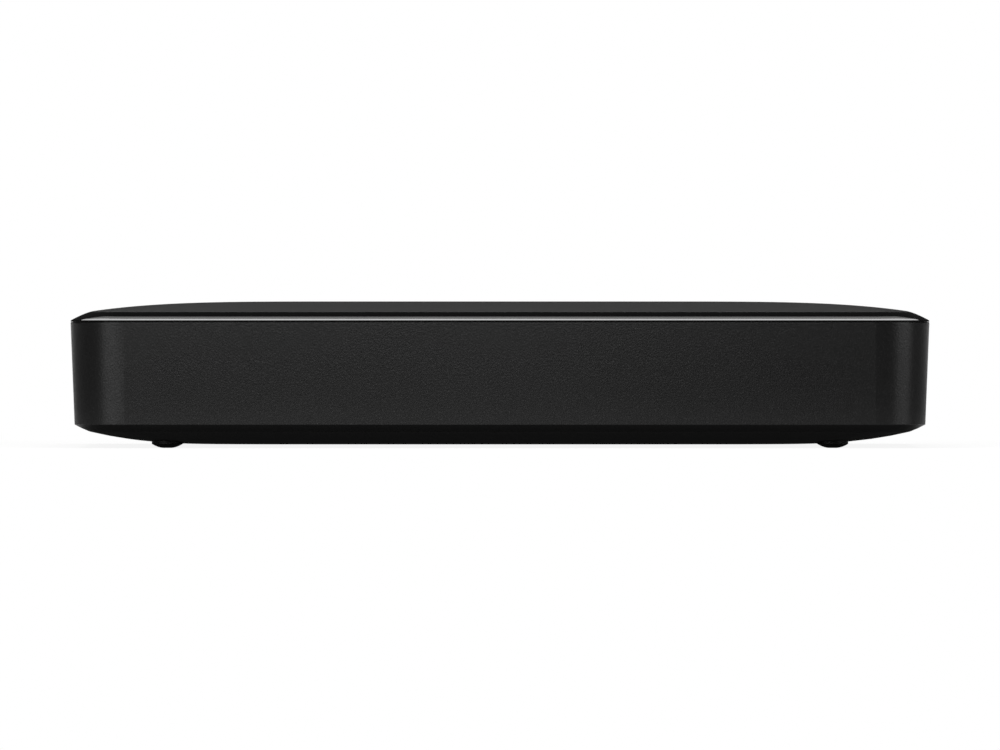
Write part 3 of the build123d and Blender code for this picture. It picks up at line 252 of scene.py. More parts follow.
def mesh_from_arrays(name, points, loops, sizes, sharp_degrees):
    """Mesh from an array of points, one flat array of corner indices and one of corners per face."""
    mesh = bpy.data.meshes.new(name)
    mesh.vertices.add(len(points))
    mesh.vertices.foreach_set("co", np.asarray(points, np.float32).ravel())
    mesh.loops.add(len(loops))
    mesh.loops.foreach_set("vertex_index", np.asarray(loops, np.int32))
    mesh.polygons.add(len(sizes))
    mesh.polygons.foreach_set("loop_start", face_starts(sizes).astype(np.int32))
    mesh.polygons.foreach_set("use_smooth", np.ones(len(sizes), bool))
    mesh.update(calc_edges=True)
    if mesh.validate():
        raise RuntimeError(name + " has faces that are not valid")
    mesh.set_sharp_from_angle(angle=math.radians(sharp_degrees))
    return mesh


def grid_quads(rows, columns, closed=True):
    """Corner indices of the quads between each two rows of a grid, whose columns may close on themselves."""
    steps = columns if closed else columns - 1
    row, column = np.meshgrid(np.arange(rows - 1), np.arange(steps), indexing="ij")
    following = (column + 1) % columns
    here, above = row * columns, (row + 1) * columns
    quads = np.stack([here + column, above + column, above + following, here + following], axis=-1)
    return quads.reshape(-1, 4)


def closed_sweep(x, y, z):
    """Skin of rows of closed loops, with a pole at the middle of the first row and of the last."""
    rows, columns = x.shape
    poles = [[grid[row].mean() for grid in (x, y, z)] for row in (0, -1)]
    points = np.concatenate([np.stack([x, y, z], axis=-1).reshape(-1, 3), poles])
    ring = np.arange(columns)
    following = (ring + 1) % columns
    last = (rows - 1) * columns
    start_fan = np.stack([np.full(columns, rows * columns), ring, following], axis=-1)
    end_fan = np.stack([np.full(columns, rows * columns + 1), last + following, last + ring], axis=-1)
    quads = grid_quads(rows, columns)
    loops = np.concatenate([quads.ravel(), start_fan.ravel(), end_fan.ravel()])
    sizes = np.concatenate([np.full(len(quads), 4), np.full(2 * columns, 3)])
    return facing_out(points, loops, sizes)


def capped_sweep(rings):
    """Skin of equal closed rings, one after the other, with a flat face over the first and the last."""
    rows, columns, _ = rings.shape
    quads = grid_quads(rows, columns)
    ring = np.arange(columns)
    loops = np.concatenate([quads.ravel(), ring, (rows - 1) * columns + ring[::-1]])
    sizes = np.concatenate([np.full(len(quads), 4), [columns, columns]])
    return facing_out(rings.reshape(-1, 3), loops, sizes)


def straight_bar(outline, start, end):
    """An X-Z outline carried straight along Y from one place to another, closed at both ends."""
    section = np.asarray(outline, float)
    rings = np.empty((2, len(section), 3))
    rings[:, :, 0] = section[:, 0]
    rings[:, :, 1] = np.array([[start], [end]])
    rings[:, :, 2] = section[:, 1]
    return capped_sweep(rings)


def open_sheet(x, y, z):
    """Sheet of quads between the rows and columns of three equal arrays."""
    quads = grid_quads(*x.shape, closed=False)
    return np.stack([x, y, z], axis=-1).reshape(-1, 3), quads.ravel(), np.full(len(quads), 4)


def joined(shells):
    """One set of points and faces from several closed shells."""
    offsets = np.cumsum([0] + [len(points) for points, _, _ in shells[:-1]])
    points = np.concatenate([shell[0] for shell in shells])
    loops = np.concatenate([shell[1] + offset for shell, offset in zip(shells, offsets)])
    sizes = np.concatenate([shell[2] for shell in shells])
    return points, loops, sizes


def add_object(name, shell, material, sharp_degrees=30.0):
    """Object at the origin for a mesh of one material."""
    mesh = mesh_from_arrays(name, *shell, sharp_degrees)
    mesh.materials.append(material)
    thing = bpy.data.objects.new(name, mesh)
    bpy.context.scene.collection.objects.link(thing)
    return thing


def add_piece(name, shell, body, slot, material, replaced, **settings):
    """A finished shell in place of the solids it stands for; without a body it is left unattached."""
    piece = add_object(name, shell, material, **settings)
    if body:
        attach(piece, body)
    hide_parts(*replaced)
    return piece


def rounded_path(arc_steps=24, side_steps=14):
    """A closed rounded rectangle as shares of its half sizes and corner radius.

    At each step x is a share of the half width plus a share of the corner radius, and y is the same with the
    half length, so one set of shares carries a profile of any inset round the case."""
    signs = np.array([(1, 1), (-1, 1), (-1, -1), (1, -1)], float)
    half_share, corner_share = [], []
    for corner in range(4):
        angles = math.pi / 2 * (corner + np.linspace(0, 1, arc_steps + 1))
        turn = np.stack([np.cos(angles), np.sin(angles)], axis=-1)
        half_share.append(np.tile(signs[corner], (arc_steps + 1, 1)))
        corner_share.append(turn - signs[corner])
        along = np.linspace(0, 1, side_steps + 1)[1:-1, None]
        following = signs[(corner + 1) % 4]
        half_share.append((1 - along) * signs[corner] + along * following)
        corner_share.append(turn[-1] - half_share[-1])
    return np.concatenate(half_share), np.concatenate(corner_share)


def carry_round(half_width, half_length, corner, height):
    """Carry a profile, as arrays of half sizes, corner radius and height, round the rounded rectangle."""
    half_share, corner_share = rounded_path()
    x = np.outer(half_width, half_share[:, 0]) + np.outer(corner, corner_share[:, 0])
    y = np.outer(half_length, half_share[:, 1]) + np.outer(corner, corner_share[:, 1])
    z = np.repeat(np.asarray(height)[:, None], len(half_share), axis=1)
    return closed_sweep(x, y, z)


def revolved(centre, radius, height, steps=64):
    """Turn a profile, as arrays of radius and height, round an upright axis through a centre."""
    angles = np.linspace(0, 2 * math.pi, steps, endpoint=False)
    x = centre.x + np.outer(radius, np.cos(angles))
    y = centre.y + np.outer(radius, np.sin(angles))
    z = np.repeat(np.asarray(height)[:, None], steps, axis=1)
    return closed_sweep(x, y, z)


# Nodes and shared node groups


def add_node(tree, kind, inputs=None, **settings):
    """A node with its settings, and with inputs given as values or as sockets to link from."""
    node = tree.nodes.new(kind)
    for key, value in settings.items():
        setattr(node, key, value)
    for key, value in (inputs or {}).items():
        if isinstance(value, bpy.types.NodeSocket):
            tree.links.new(value, node.inputs[key])
        else:
            node.inputs[key].default_value = value
    return node


def object_place(tree, middle=(0, 0, 0)):
    """Socket of object coordinates, moved so that a given place is their middle."""
    coordinates = add_node(tree, "ShaderNodeTexCoord").outputs["Object"]
    inputs = {"Vector": coordinates, "Location": -Vector(middle)}
    return add_node(tree, "ShaderNodeMapping", inputs).outputs["Vector"]


def height_of(tree, place):
    """Socket of a place's height."""
    return add_node(tree, "ShaderNodeSeparateXYZ", {0: place}).outputs["Z"]


def noise(tree, place, scale, detail=2.0, roughness=0.5):
    """Socket of a smooth noise with some finer noise on it."""
    inputs = {"Vector": place, "Scale": scale, "Detail": detail, "Roughness": roughness}
    return add_node(tree, "ShaderNodeTexNoise", inputs).outputs[0]


def calculate(tree, operation, first, second=0.0):
    """Socket of one sum on two values."""
    return add_node(tree, "ShaderNodeMath", {0: first, 1: second}, operation=operation).outputs[0]


def calculate_vector(tree, operation, first, second=(0, 0, 0)):
    """Socket of one sum on two vectors."""
    return add_node(tree, "ShaderNodeVectorMath", {0: first, 1: second}, operation=operation).outputs[0]


def vector_length(tree, vector):
    """Socket of a vector's length."""
    return add_node(tree, "ShaderNodeVectorMath", {0: vector}, operation="LENGTH").outputs["Value"]


def ramp(tree, value, low, high, to_low=0.0, to_high=1.0):
    """Socket that goes smoothly from one value to another while the input goes from low to high."""
    inputs = {"Value": value, "From Min": low, "From Max": high, "To Min": to_low, "To Max": to_high}
    return add_node(tree, "ShaderNodeMapRange", inputs, interpolation_type="SMOOTHSTEP").outputs["Result"]


def mix_colour(tree, share, first, second):
    """Socket of a colour between two, by a share."""
    inputs = {0: share}
    for index, value in ((6, first), (7, second)):
        inputs[index] = value if isinstance(value, bpy.types.NodeSocket) else (*value[:3], 1.0)
    return add_node(tree, "ShaderNodeMix", inputs, data_type="RGBA").outputs[2]


def new_group(name, inputs, outputs):
    """Empty node group with named sockets; inputs map a name to a number, or to None for a vector."""
    group = bpy.data.node_groups.new(name, "ShaderNodeTree")
    for socket_name, default in inputs.items():
        kind = "NodeSocketVector" if default is None else "NodeSocketFloat"
        socket = group.interface.new_socket(socket_name, in_out="INPUT", socket_type=kind)
        if default is not None:
            socket.default_value = default
    for socket_name in outputs:
        group.interface.new_socket(socket_name, in_out="OUTPUT", socket_type="NodeSocketFloat")
    return group, group.nodes.new("NodeGroupInput").outputs, group.nodes.new("NodeGroupOutput").inputs


def moulded_grain_group():
    """Moulded grain: rounded pebbles with finer noise on them, specks on the pebbles' tops, which the case
    wall paints brighter as painted sparkle, and a slow mottle.
    """
    finer, finer_share = 2.7, 0.3
    speck_low, speck_high = 0.55, 0.72
    group, given, result = new_group(
        "moulded_grain",
        {"Vector": None, "Grain per metre": 4000.0, "Mottle per metre": 60.0},
        ["Height", "Speck", "Mottle"],
    )
    place, scale = given["Vector"], given["Grain per metre"]
    pebble = noise(group, place, scale, detail=1.0, roughness=0.4)
    fine = noise(group, place, calculate(group, "MULTIPLY", scale, finer), detail=0.0)
    height = calculate(group, "ADD", pebble, calculate(group, "MULTIPLY", fine, finer_share))
    group.links.new(height, result["Height"])
    group.links.new(ramp(group, pebble, speck_low, speck_high), result["Speck"])
    group.links.new(noise(group, place, given["Mottle per metre"], detail=3.0), result["Mottle"])
    return group


def brushed_streaks_group():
    """Brushed or drawn metal: noise stretched along one direction, as height and as a streak mask."""
    streak_low, streak_high = 0.35, 0.65
    group, given, result = new_group(
        "brushed_streaks",
        {"Vector": None, "Streaks per metre": 14000.0, "Stretch": 0.012},
        ["Height", "Streak"],
    )
    parts = add_node(group, "ShaderNodeSeparateXYZ", {0: given["Vector"]}).outputs
    along = calculate(group, "MULTIPLY", parts["X"], given["Stretch"])
    stretched = add_node(group, "ShaderNodeCombineXYZ", {"X": along, "Y": parts["Y"], "Z": parts["Z"]})
    streak = noise(group, stretched.outputs[0], given["Streaks per metre"])
    group.links.new(streak, result["Height"])
    group.links.new(ramp(group, streak, streak_low, streak_high), result["Streak"])
    return group


def turned_rings_group():
    """Turned or wound rings: the distance from an upright axis, cut into slightly wavering waves."""
    waver_per_metre = 300.0
    group, given, result = new_group(
        "turned_rings", {"Vector": None, "Rings per metre": 8000.0}, ["Height", "Ring"]
    )
    parts = add_node(group, "ShaderNodeSeparateXYZ", {0: given["Vector"]}).outputs
    flat = add_node(group, "ShaderNodeCombineXYZ", {"X": parts["X"], "Y": parts["Y"]})
    turns = calculate(group, "MULTIPLY", vector_length(group, flat.outputs[0]), given["Rings per metre"])
    turns = calculate(group, "ADD", turns, noise(group, given["Vector"], waver_per_metre))
    wave = calculate(group, "SINE", calculate(group, "MULTIPLY", turns, 2 * math.pi))
    group.links.new(wave, result["Height"])
    group.links.new(ramp(group, wave, -1.0, 1.0), result["Ring"])
    return group


GROUPS = {
    "moulded_grain": moulded_grain_group,
    "brushed_streaks": brushed_streaks_group,
    "turned_rings": turned_rings_group,
}


def use_group(tree, name, **inputs):
    """Place a shared node group in a material with its own values, building it at its first use."""
    group = bpy.data.node_groups.get(name) or GROUPS[name]()
    values = {key.replace("_", " "): value for key, value in inputs.items()}
    return add_node(tree, "ShaderNodeGroup", values, node_tree=group).outputs


def empty_tree(owner):
    """The node tree of a new material or world, with nothing in it yet."""
    owner.use_nodes = True
    owner.node_tree.nodes.clear()
    return owner.node_tree


def show(tree, shader, output="ShaderNodeOutputMaterial"):
    """Link a shader to the output of its material or world."""
    tree.links.new(shader.outputs[0], tree.nodes.new(output).inputs["Surface"])


def new_material(name, **constants):
    """Material with one Principled shader; constants are set on the shader's own sockets."""
    material = bpy.data.materials.new(name)
    tree = empty_tree(material)
    shader = tree.nodes.new("ShaderNodeBsdfPrincipled")
    show(tree, shader)
    for key, value in constants.items():
        shader.inputs[key.replace("_", " ")].default_value = value
    return material, tree, shader


def feed(tree, shader, colour, roughness, height, depth, coat=None):
    """Link a varying colour, roughness and coat to the shader, and a bump of a given depth."""
    for socket, key in ((colour, "Base Color"), (roughness, "Roughness"), (coat, "Coat Weight")):
        if socket is not None:
            tree.links.new(socket, shader.inputs[key])
    bump = add_node(tree, "ShaderNodeBump", {"Height": height, "Strength": 1.0, "Distance": depth})
    tree.links.new(bump.outputs[0], shader.inputs["Normal"])


def brighter(colour, share):
    """A colour moved up by a share of itself."""
    return tuple(min(1.0, channel * (1 + share)) for channel in colour[:3])


def vary(tree, shader, colour, lift, roughness, rise, height, depth):
    """Feed a shader a colour that lifts and a roughness that rises with a mask, and a bump in millimetres.

    Lift is a mask and a share of the colour. Rise is a mask, the range of it that counts and an amount."""
    shade = mix_colour(tree, lift[0], colour, brighter(colour, lift[1]))
    mask, low, high, amount = rise
    rough = ramp(tree, mask, low, high, roughness, roughness + amount)
    feed(tree, shader, shade, rough, height, depth * MM)


# Finishes


def tub_material(finish):
    """Grained black side wall above a smoother underside, whose darker colour is painted shade, parted at
    the wall's lower edge.
    """
    painted_sparkle_lift, roughness_spread = 0.7, 0.02
    material, tree, shader = new_material("grained_black_case", Specular_IOR_Level=0.28)
    place = object_place(tree)
    height = height_of(tree, place)
    edge = tub_low.z + finish.belly_rise
    side = ramp(tree, height, edge - EDGE_BLEND, edge + EDGE_BLEND)
    grain = use_group(tree, "moulded_grain", Vector=place, Grain_per_metre=1 / finish.grain_size)
    # Painted sparkle: the specks on the grain's tops get a brighter colour, standing for glints of light
    painted_sparkle_colour = brighter(finish.side_colour, painted_sparkle_lift)
    sparkle_painted = mix_colour(tree, grain["Speck"], finish.side_colour, painted_sparkle_colour)
    # Painted shade: the underside gets a darker colour than the wall
    colour = mix_colour(tree, side, finish.shaded_belly_colour, sparkle_painted)
    smoother = finish.side_roughness - roughness_spread
    rougher = finish.side_roughness + roughness_spread
    wall_roughness = ramp(tree, grain["Mottle"], 0.0, 1.0, smoother, rougher)
    smooth = calculate(tree, "MULTIPLY", calculate(tree, "SUBTRACT", 1.0, side), finish.belly_roughness)
    roughness = calculate(tree, "ADD", calculate(tree, "MULTIPLY", wall_roughness, side), smooth)
    relief = calculate(tree, "MULTIPLY", grain["Height"], side)
    feed(tree, shader, colour, roughness, relief, finish.grain_depth)
    return material


def lid_material(finish, crease_height, seat_height):
    """Matte fine-grained top, a lacquered bevel from its crease to its seat, and below it a dull near-black
    bead in the seam, whose colour is painted shade standing for the seam's shadow.
    """
    mottle_lift = 0.1
    material, tree, shader = new_material(
        "matte_top_glossy_bevel", Specular_IOR_Level=0.12, Coat_Roughness=0.035, Coat_IOR=1.5
    )
    place = object_place(tree)
    height = height_of(tree, place)
    gloss_end = crease_height - finish.gloss_drop
    matte = ramp(tree, height, gloss_end - EDGE_BLEND / 2, gloss_end + EDGE_BLEND / 2)
    above_seam = ramp(tree, height, seat_height, seat_height + EDGE_BLEND / 4)
    gloss = calculate(tree, "SUBTRACT", above_seam, matte)
    fine_grain = TOP_GRAIN_SHARE * finish.grain_size
    grain = use_group(tree, "moulded_grain", Vector=place, Grain_per_metre=1 / fine_grain)
    top = mix_colour(tree, grain["Mottle"], finish.top_colour, brighter(finish.top_colour, mottle_lift))
    # Painted shade: below the seat the bead takes the near-black seam colour and full roughness, standing
    # for the shadow in the seam gap
    black = mix_colour(tree, above_seam, finish.seam_shade_colour, finish.bevel_colour)
    colour = mix_colour(tree, matte, black, top)
    roughness = ramp(tree, gloss, 0.0, 1.0, finish.top_roughness, finish.bevel_roughness)
    seam_dulling = ramp(tree, above_seam, 0.0, 1.0, 1.0 - finish.top_roughness, 0.0)
    roughness = calculate(tree, "ADD", roughness, seam_dulling)
    relief = calculate(tree, "MULTIPLY", grain["Height"], matte)
    feed(tree, shader, colour, roughness, relief, TOP_GRAIN_SHARE * finish.grain_depth / 2, gloss)
    return material


def moulded_material(name, colour, roughness=0.45, grain=0.17, depth=0.006, specular=0.4):
    """Moulded plastic or rubber with a fine grain and a slow change of shade; lengths in millimetres."""
    material, tree, shader = new_material(name, Specular_IOR_Level=specular)
    skin = use_group(tree, "moulded_grain", Vector=object_place(tree), Grain_per_metre=1 / (grain * MM))
    lift, rise = (skin["Mottle"], 0.4), (skin["Speck"], 0.0, 1.0, 0.1)
    vary(tree, shader, colour, lift, roughness, rise, skin["Height"], depth)
    return material


def brushed_material(name, colour, roughness=0.3, depth=0.0005):
    """Drawn or pressed sheet metal with streaks along one direction; depth in millimetres."""
    material, tree, shader = new_material(name, Metallic=1.0)
    streaks = use_group(tree, "brushed_streaks", Vector=object_place(tree))
    lift, rise = (streaks["Streak"], 0.1), (streaks["Streak"], 0.0, 1.0, 0.06)
    vary(tree, shader, colour, lift, roughness, rise, streaks["Height"], depth)
    return material


def turned_material(name, colour, centre, pitch, roughness=0.25, depth=0.002):
    """Metal turned on a lathe, or wire wound round an axis, in rings of one pitch; sizes in millimetres."""
    material, tree, shader = new_material(name, Metallic=1.0)
    place = object_place(tree, centre)
    rings = use_group(tree, "turned_rings", Vector=place, Rings_per_metre=1 / (pitch * MM))
    lift, rise = (rings["Ring"], 0.12), (rings["Ring"], 0.0, 1.0, 0.08)
    vary(tree, shader, colour, lift, roughness, rise, rings["Height"], depth)
    return material


def cast_material(name, colour, roughness=0.42, depth=0.01):
    """Die-cast, sintered or plated metal with a pebbled skin; depth in millimetres."""
    material, tree, shader = new_material(name, Metallic=1.0)
    skin = use_group(
        tree, "moulded_grain", Vector=object_place(tree), Grain_per_metre=2600.0, Mottle_per_metre=70.0
    )
    lift, rise = (skin["Mottle"], 0.08), (skin["Mottle"], 0.2, 0.8, 0.04)
    vary(tree, shader, colour, lift, roughness, rise, skin["Height"], depth)
    return material


def board_material():
    """Circuit board: green solder resist over copper tracks, drawn as the edges of uneven cells."""
    resist, copper = (0.008, 0.06, 0.026), (0.03, 0.15, 0.06)
    cells_per_metre, track_low, track_high, track_height = 420.0, 0.03, 0.07, 0.01 * MM
    material, tree, shader = new_material("green_circuit_board", Specular_IOR_Level=0.5)
    place = object_place(tree)
    inputs = {"Vector": place, "Scale": cells_per_metre}
    cells = add_node(tree, "ShaderNodeTexVoronoi", inputs, feature="DISTANCE_TO_EDGE")
    track = ramp(tree, cells.outputs["Distance"], track_low, track_high, 1.0, 0.0)
    weave = use_group(tree, "moulded_grain", Vector=place, Grain_per_metre=5000.0)
    shade = mix_colour(tree, weave["Mottle"], mix_colour(tree, track, resist, copper), resist)
    rough = ramp(tree, weave["Speck"], 0.0, 1.0, 0.3, 0.4)
    feed(tree, shader, shade, rough, track, track_height)
    return material


def ribbon_material():
    """Amber film over five copper tracks that run along the ribbon."""
    film, copper = (0.30, 0.11, 0.02), (0.45, 0.2, 0.06)
    tracks, track_edge, track_height = 5, 0.2, 0.01 * MM
    material, tree, shader = new_material("amber_flex_film", Specular_IOR_Level=0.5)
    place = object_place(tree, (0, 0, ribbon_low.z))
    height = height_of(tree, place)
    angle = calculate(tree, "MULTIPLY", height, 2 * math.pi * tracks / (ribbon_high.z - ribbon_low.z))
    track = ramp(tree, calculate(tree, "SINE", angle), -track_edge, track_edge, 1.0, 0.0)
    grain = use_group(tree, "moulded_grain", Vector=place, Grain_per_metre=6000.0)
    rough = ramp(tree, grain["Speck"], 0.0, 1.0, 0.28, 0.36)
    feed(tree, shader, mix_colour(tree, track, film, copper), rough, track, track_height)
    return material


def clear_material():
    """Clear moulded plastic with a faint orange-peel surface."""
    colour, roughness, depth = (0.82, 0.84, 0.86), 0.15, 0.002
    material, tree, shader = new_material("clear_light_pipe", Transmission_Weight=0.8, IOR=1.49)
    skin = use_group(tree, "moulded_grain", Vector=object_place(tree), Grain_per_metre=3000.0)
    lift, rise = (skin["Mottle"], 0.1), (skin["Speck"], 0.0, 1.0, 0.1)
    vary(tree, shader, colour, lift, roughness, rise, skin["Height"], depth)
    return material


def finish_nodes(*finishes):
    """Give solids of the frame their finish in place of their plain colour."""
    for material, names in finishes:
        for name in names:
            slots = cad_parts[name].data.materials
            slots.clear()
            slots.append(material)


# Pieces, with one step for each group


def quadratic(start, pull, end, steps=13):
    """A curve between two values that sets out towards a third: the quadratic Bezier of the three."""
    t = np.linspace(0, 1, steps)
    return (1 - t) ** 2 * start + 2 * t * (1 - t) * pull + t**2 * end


def seat_of(shape):
    """Height at which the lid's rim sits on the lower case."""
    return lid_high.z - shape.crown_rise - shape.bevel_rise


def lid_profile(shape):
    """Half width, half length, corner radius and height of the lid's skin, from its middle to its ceiling.

    The crown rises from the bevel's crease by crown_rise times one less a power of the way left to its flat
    middle. The bevel is a parabola from its start slope to its rise, and a quadratic curve softens the
    crease. The skin then goes round the rim's edge, round a small bead that closes the seam, along the seat,
    down the outside of the lip, up its inside and along a ceiling that follows the crown. Crowding is the
    power that sets the rows of crown and ceiling closer together towards the rim."""
    crown_rows, bevel_rows, rim_rows, ceiling_rows, crowding = 49, 22, 8, 25, 1.7
    half_x = (lid_high.x - lid_low.x) / 2
    half_y = (lid_high.y - lid_low.y) / 2
    seat = seat_of(shape)
    crown_end = shape.bevel_width + shape.crown_run
    lip_end = shape.lip_start + shape.lip_wall
    lip_low = seat - shape.lip_depth
    bend = (shape.bevel_slope * shape.bevel_width - shape.bevel_rise) / shape.bevel_width**2

    def bevel(inset):
        return seat + shape.bevel_slope * inset - bend * inset**2

    def crown(inset):
        left = 1 - (inset - shape.bevel_width) / shape.crown_run
        return seat + shape.bevel_rise + shape.crown_rise * (1 - left**shape.crown_power)

    def spread_corner(inset, start):
        return shape.corner - start + shape.corner_spread * (inset - start)

    def rows(inset, corner, height, scale=1.0):
        inset, corner, height, scale = np.broadcast_arrays(inset, corner, height, scale)
        return np.stack([(half_x - inset) * scale, (half_y - inset) * scale, corner * scale, height])

    flat_shares = np.linspace(0.15, 0.9, 6)
    crown_inset = shape.bevel_width + shape.crown_run * np.linspace(1, 0, crown_rows) ** crowding
    crown_inset = crown_inset[crown_inset > shape.bevel_width + shape.crease_reach]
    wedge = math.atan(shape.bevel_slope)
    tangent = shape.rim_round / math.tan(wedge / 2)
    bevel_ends = (shape.bevel_width - shape.crease_reach, tangent * math.cos(wedge))
    bevel_inset = np.linspace(*bevel_ends, bevel_rows)[1:]
    crease_inset = shape.bevel_width + shape.crease_reach * np.array([1, 0, -1])
    crown_corner = spread_corner(crease_inset[:2], shape.bevel_width)
    crease_corner = np.append(crown_corner, shape.corner - crease_inset[2])
    crease_height = np.append(crown(crease_inset[:2]), bevel(crease_inset[2]))
    turn = np.linspace(math.pi / 2 - wedge, -math.pi / 2, rim_rows)[1:]
    rim_inset = tangent - shape.rim_round * np.cos(turn)
    # The bead closes the seam gap; the lid's material paints it near black as the seam's shade
    bead_end = shape.bead_inset + shape.bead_width
    bead_low = seat - shape.bead_depth
    bead_inset = np.array([shape.bead_inset, shape.bead_inset, bead_end, bead_end])
    lip_inset = np.array([shape.lip_start, shape.lip_start, lip_end])
    ceiling_inset = lip_end + (crown_end - lip_end) * np.linspace(0, 1, ceiling_rows) ** crowding
    return np.concatenate(
        [
            rows(crown_end, spread_corner(crown_end, shape.bevel_width), lid_high.z, flat_shares),
            rows(crown_inset, spread_corner(crown_inset, shape.bevel_width), crown(crown_inset)),
            rows(*(quadratic(*ends) for ends in (crease_inset, crease_corner, crease_height))),
            rows(bevel_inset, shape.corner - bevel_inset, bevel(bevel_inset)),
            rows(rim_inset, shape.corner - rim_inset, seat + shape.rim_round * (1 + np.sin(turn))),
            rows(bead_inset, shape.corner - bead_inset, np.array([seat, bead_low, bead_low, seat])),
            rows(lip_inset, shape.corner - lip_inset, np.array([seat, lip_low, lip_low])),
            rows(ceiling_inset, spread_corner(ceiling_inset, lip_end), crown(ceiling_inset) - shape.wall),
            rows(crown_end, spread_corner(crown_end, lip_end), lid_high.z - shape.wall, flat_shares[::-1]),
        ],
        axis=1,
    )


def lid_fittings(shape):
    """Snap ridges of a five-sided outline along both sides of the lip, and two plain hold-down ribs."""
    face = lid_high.x - shape.lip_start
    root = face - shape.lip_wall / 2
    top = seat_of(shape) - shape.snap_drop
    low = top - shape.snap_height
    ridge = np.array(
        [(root, top), (face, top), (face + shape.snap_proud, (top + low) / 2), (face, low), (root, low)]
    )
    rib_low = mechanism_high.z + shape.rib_gap
    rib_high = lid_high.z - shape.wall + shape.rib_root
    rib = np.array([(-1, 0), (1, 0), (1, 1), (-1, 1)]) * (shape.rib_width / 2, rib_high - rib_low)
    bars = []
    for side in (-1, 1):
        for row in (-1, 0, 1):
            middle = row * shape.snap_pitch
            ends = (middle - shape.snap_length / 2, middle + shape.snap_length / 2)
            bars.append(straight_bar(ridge * (side, 1), *ends))
        ends = (mechanism_centre.y - shape.rib_length / 2, mechanism_centre.y + shape.rib_length / 2)
        bars.append(straight_bar(rib + (side * shape.rib_reach, rib_low), *ends))
    return bars


class DRIVE_OT_lid(bpy.types.Operator):
    """Build the crowned lid: its skin carried round the rim, six snap ridges and two hold-down ribs"""

    bl_idname = "drive.lid"
    bl_label = "Lid"

    def execute(self, context):
        shape = context.scene.drive_lid
        shell = joined([carry_round(*lid_profile(shape)), *lid_fittings(shape)])
        crease = lid_high.z - shape.crown_rise
        material = lid_material(context.scene.drive_case, crease, seat_of(shape))
        add_piece("crowned_lid", shell, HOUSING, "case_top", material, ["top_cover"], sharp_degrees=24.0)
        return {"FINISHED"}


class DRIVE_OT_tub(bpy.types.Operator):
    """Finish the lower half of the case with its grained side and smooth underside"""

    bl_idname = "drive.tub"
    bl_label = "Lower case"

    def execute(self, context):
        finish_nodes((tub_material(context.scene.drive_case), ["bottom_case"]))
        return {"FINISHED"}


class DRIVE_OT_feet(bpy.types.Operator):
    """Build the four rubber feet, each a profile turned round its axis: flat, quadratic dome, plain side"""

    bl_idname = "drive.feet"
    bl_label = "Feet"

    def execute(self, context):
        shape, colour = context.scene.drive_feet, context.scene.drive_case.foot_colour
        rubber = {"roughness": 0.5, "grain": 0.11, "depth": 0.004, "specular": 0.25}
        material = moulded_material("foot_rubber", colour, **rubber)
        quarter = np.linspace(0, math.pi / 2, 7)
        for name in FEET:
            low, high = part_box(name)
            radius = (high.x - low.x) / 2
            under = quadratic(shape.land, (shape.land + radius) / 2, radius)
            rise = low.z + quadratic(0.0, 2 * shape.dome_middle - shape.dome / 2, shape.dome)
            top_round = radius - shape.edge_round * (1 - np.cos(quarter))
            top_height = high.z - shape.edge_round * (1 - np.sin(quarter))
            profile_radius = np.concatenate([[shape.land / 2], under, top_round, [radius / 2]])
            profile_height = np.concatenate([[low.z], rise, top_height, [high.z]])
            shell = revolved((low + high) / 2, profile_radius, profile_height)
            add_piece(name + "_button", shell, HOUSING, "foot_rubber", material, [name], sharp_degrees=40.0)
        return {"FINISHED"}


class DRIVE_OT_mounts(bpy.types.Operator):
    """Finish the four rubber shock mounts round the mechanism"""

    bl_idname = "drive.mounts"
    bl_label = "Shock mounts"

    def execute(self, context):
        material = moulded_material("mount_rubber", (0.02, 0.02, 0.02), roughness=0.6)
        finish_nodes((material, SHOCK_MOUNTS))
        return {"FINISHED"}


class DRIVE_OT_socket(bpy.types.Operator):
    """Finish the data socket and the status light with its pipe"""

    bl_idname = "drive.socket"
    bl_label = "Socket and light"

    def execute(self, context):
        finish_nodes(
            (brushed_material("socket_steel", (0.62, 0.62, 0.6), 0.28), ["usb_shell"]),
            (moulded_material("socket_insert", (0.012, 0.012, 0.012)), ["usb_tongue"]),
            (brushed_material("contact_gold", (0.75, 0.52, 0.2), 0.2), ["usb_contacts"]),
            (clear_material(), ["light_pipe"]),
            (moulded_material("light_body", (0.7, 0.7, 0.66), 0.4), ["status_led"]),
        )
        return {"FINISHED"}


class DRIVE_OT_board(bpy.types.Operator):
    """Finish the circuit board, its chips and the sheet between it and the case"""

    bl_idname = "drive.board"
    bl_label = "Circuit board"

    def execute(self, context):
        chips = ["controller_chip", "motor_driver_chip", "memory_chip"]
        finish_nodes(
            (board_material(), ["circuit_board"]),
            (moulded_material("chip_body", (0.014, 0.014, 0.015), 0.5, depth=0.004), chips),
            (moulded_material("insulating_sheet", (0.03, 0.03, 0.032), 0.4), ["board_insulator"]),
        )
        return {"FINISHED"}


class DRIVE_OT_housing(bpy.types.Operator):
    """Finish the cast base of the mechanism, its pressed cover, seal, screws and filter"""

    bl_idname = "drive.housing"
    bl_label = "Mechanism housing"

    def execute(self, context):
        screws = ["cover_screws", "board_screws", "clamp_screw"]
        finish_nodes(
            (cast_material("cast_aluminium", (0.56, 0.57, 0.58)), ["drive_base"]),
            (brushed_material("cover_sheet_metal", (0.66, 0.67, 0.68), 0.3), ["drive_cover"]),
            (moulded_material("seal_rubber", (0.025, 0.025, 0.025), 0.6), ["cover_gasket"]),
            (cast_material("screw_steel", (0.5, 0.5, 0.49), 0.3, 0.004), screws),
            (moulded_material("filter_cloth", (0.75, 0.75, 0.72), 0.8, 0.1, 0.03), ["air_filter"]),
        )
        return {"FINISHED"}


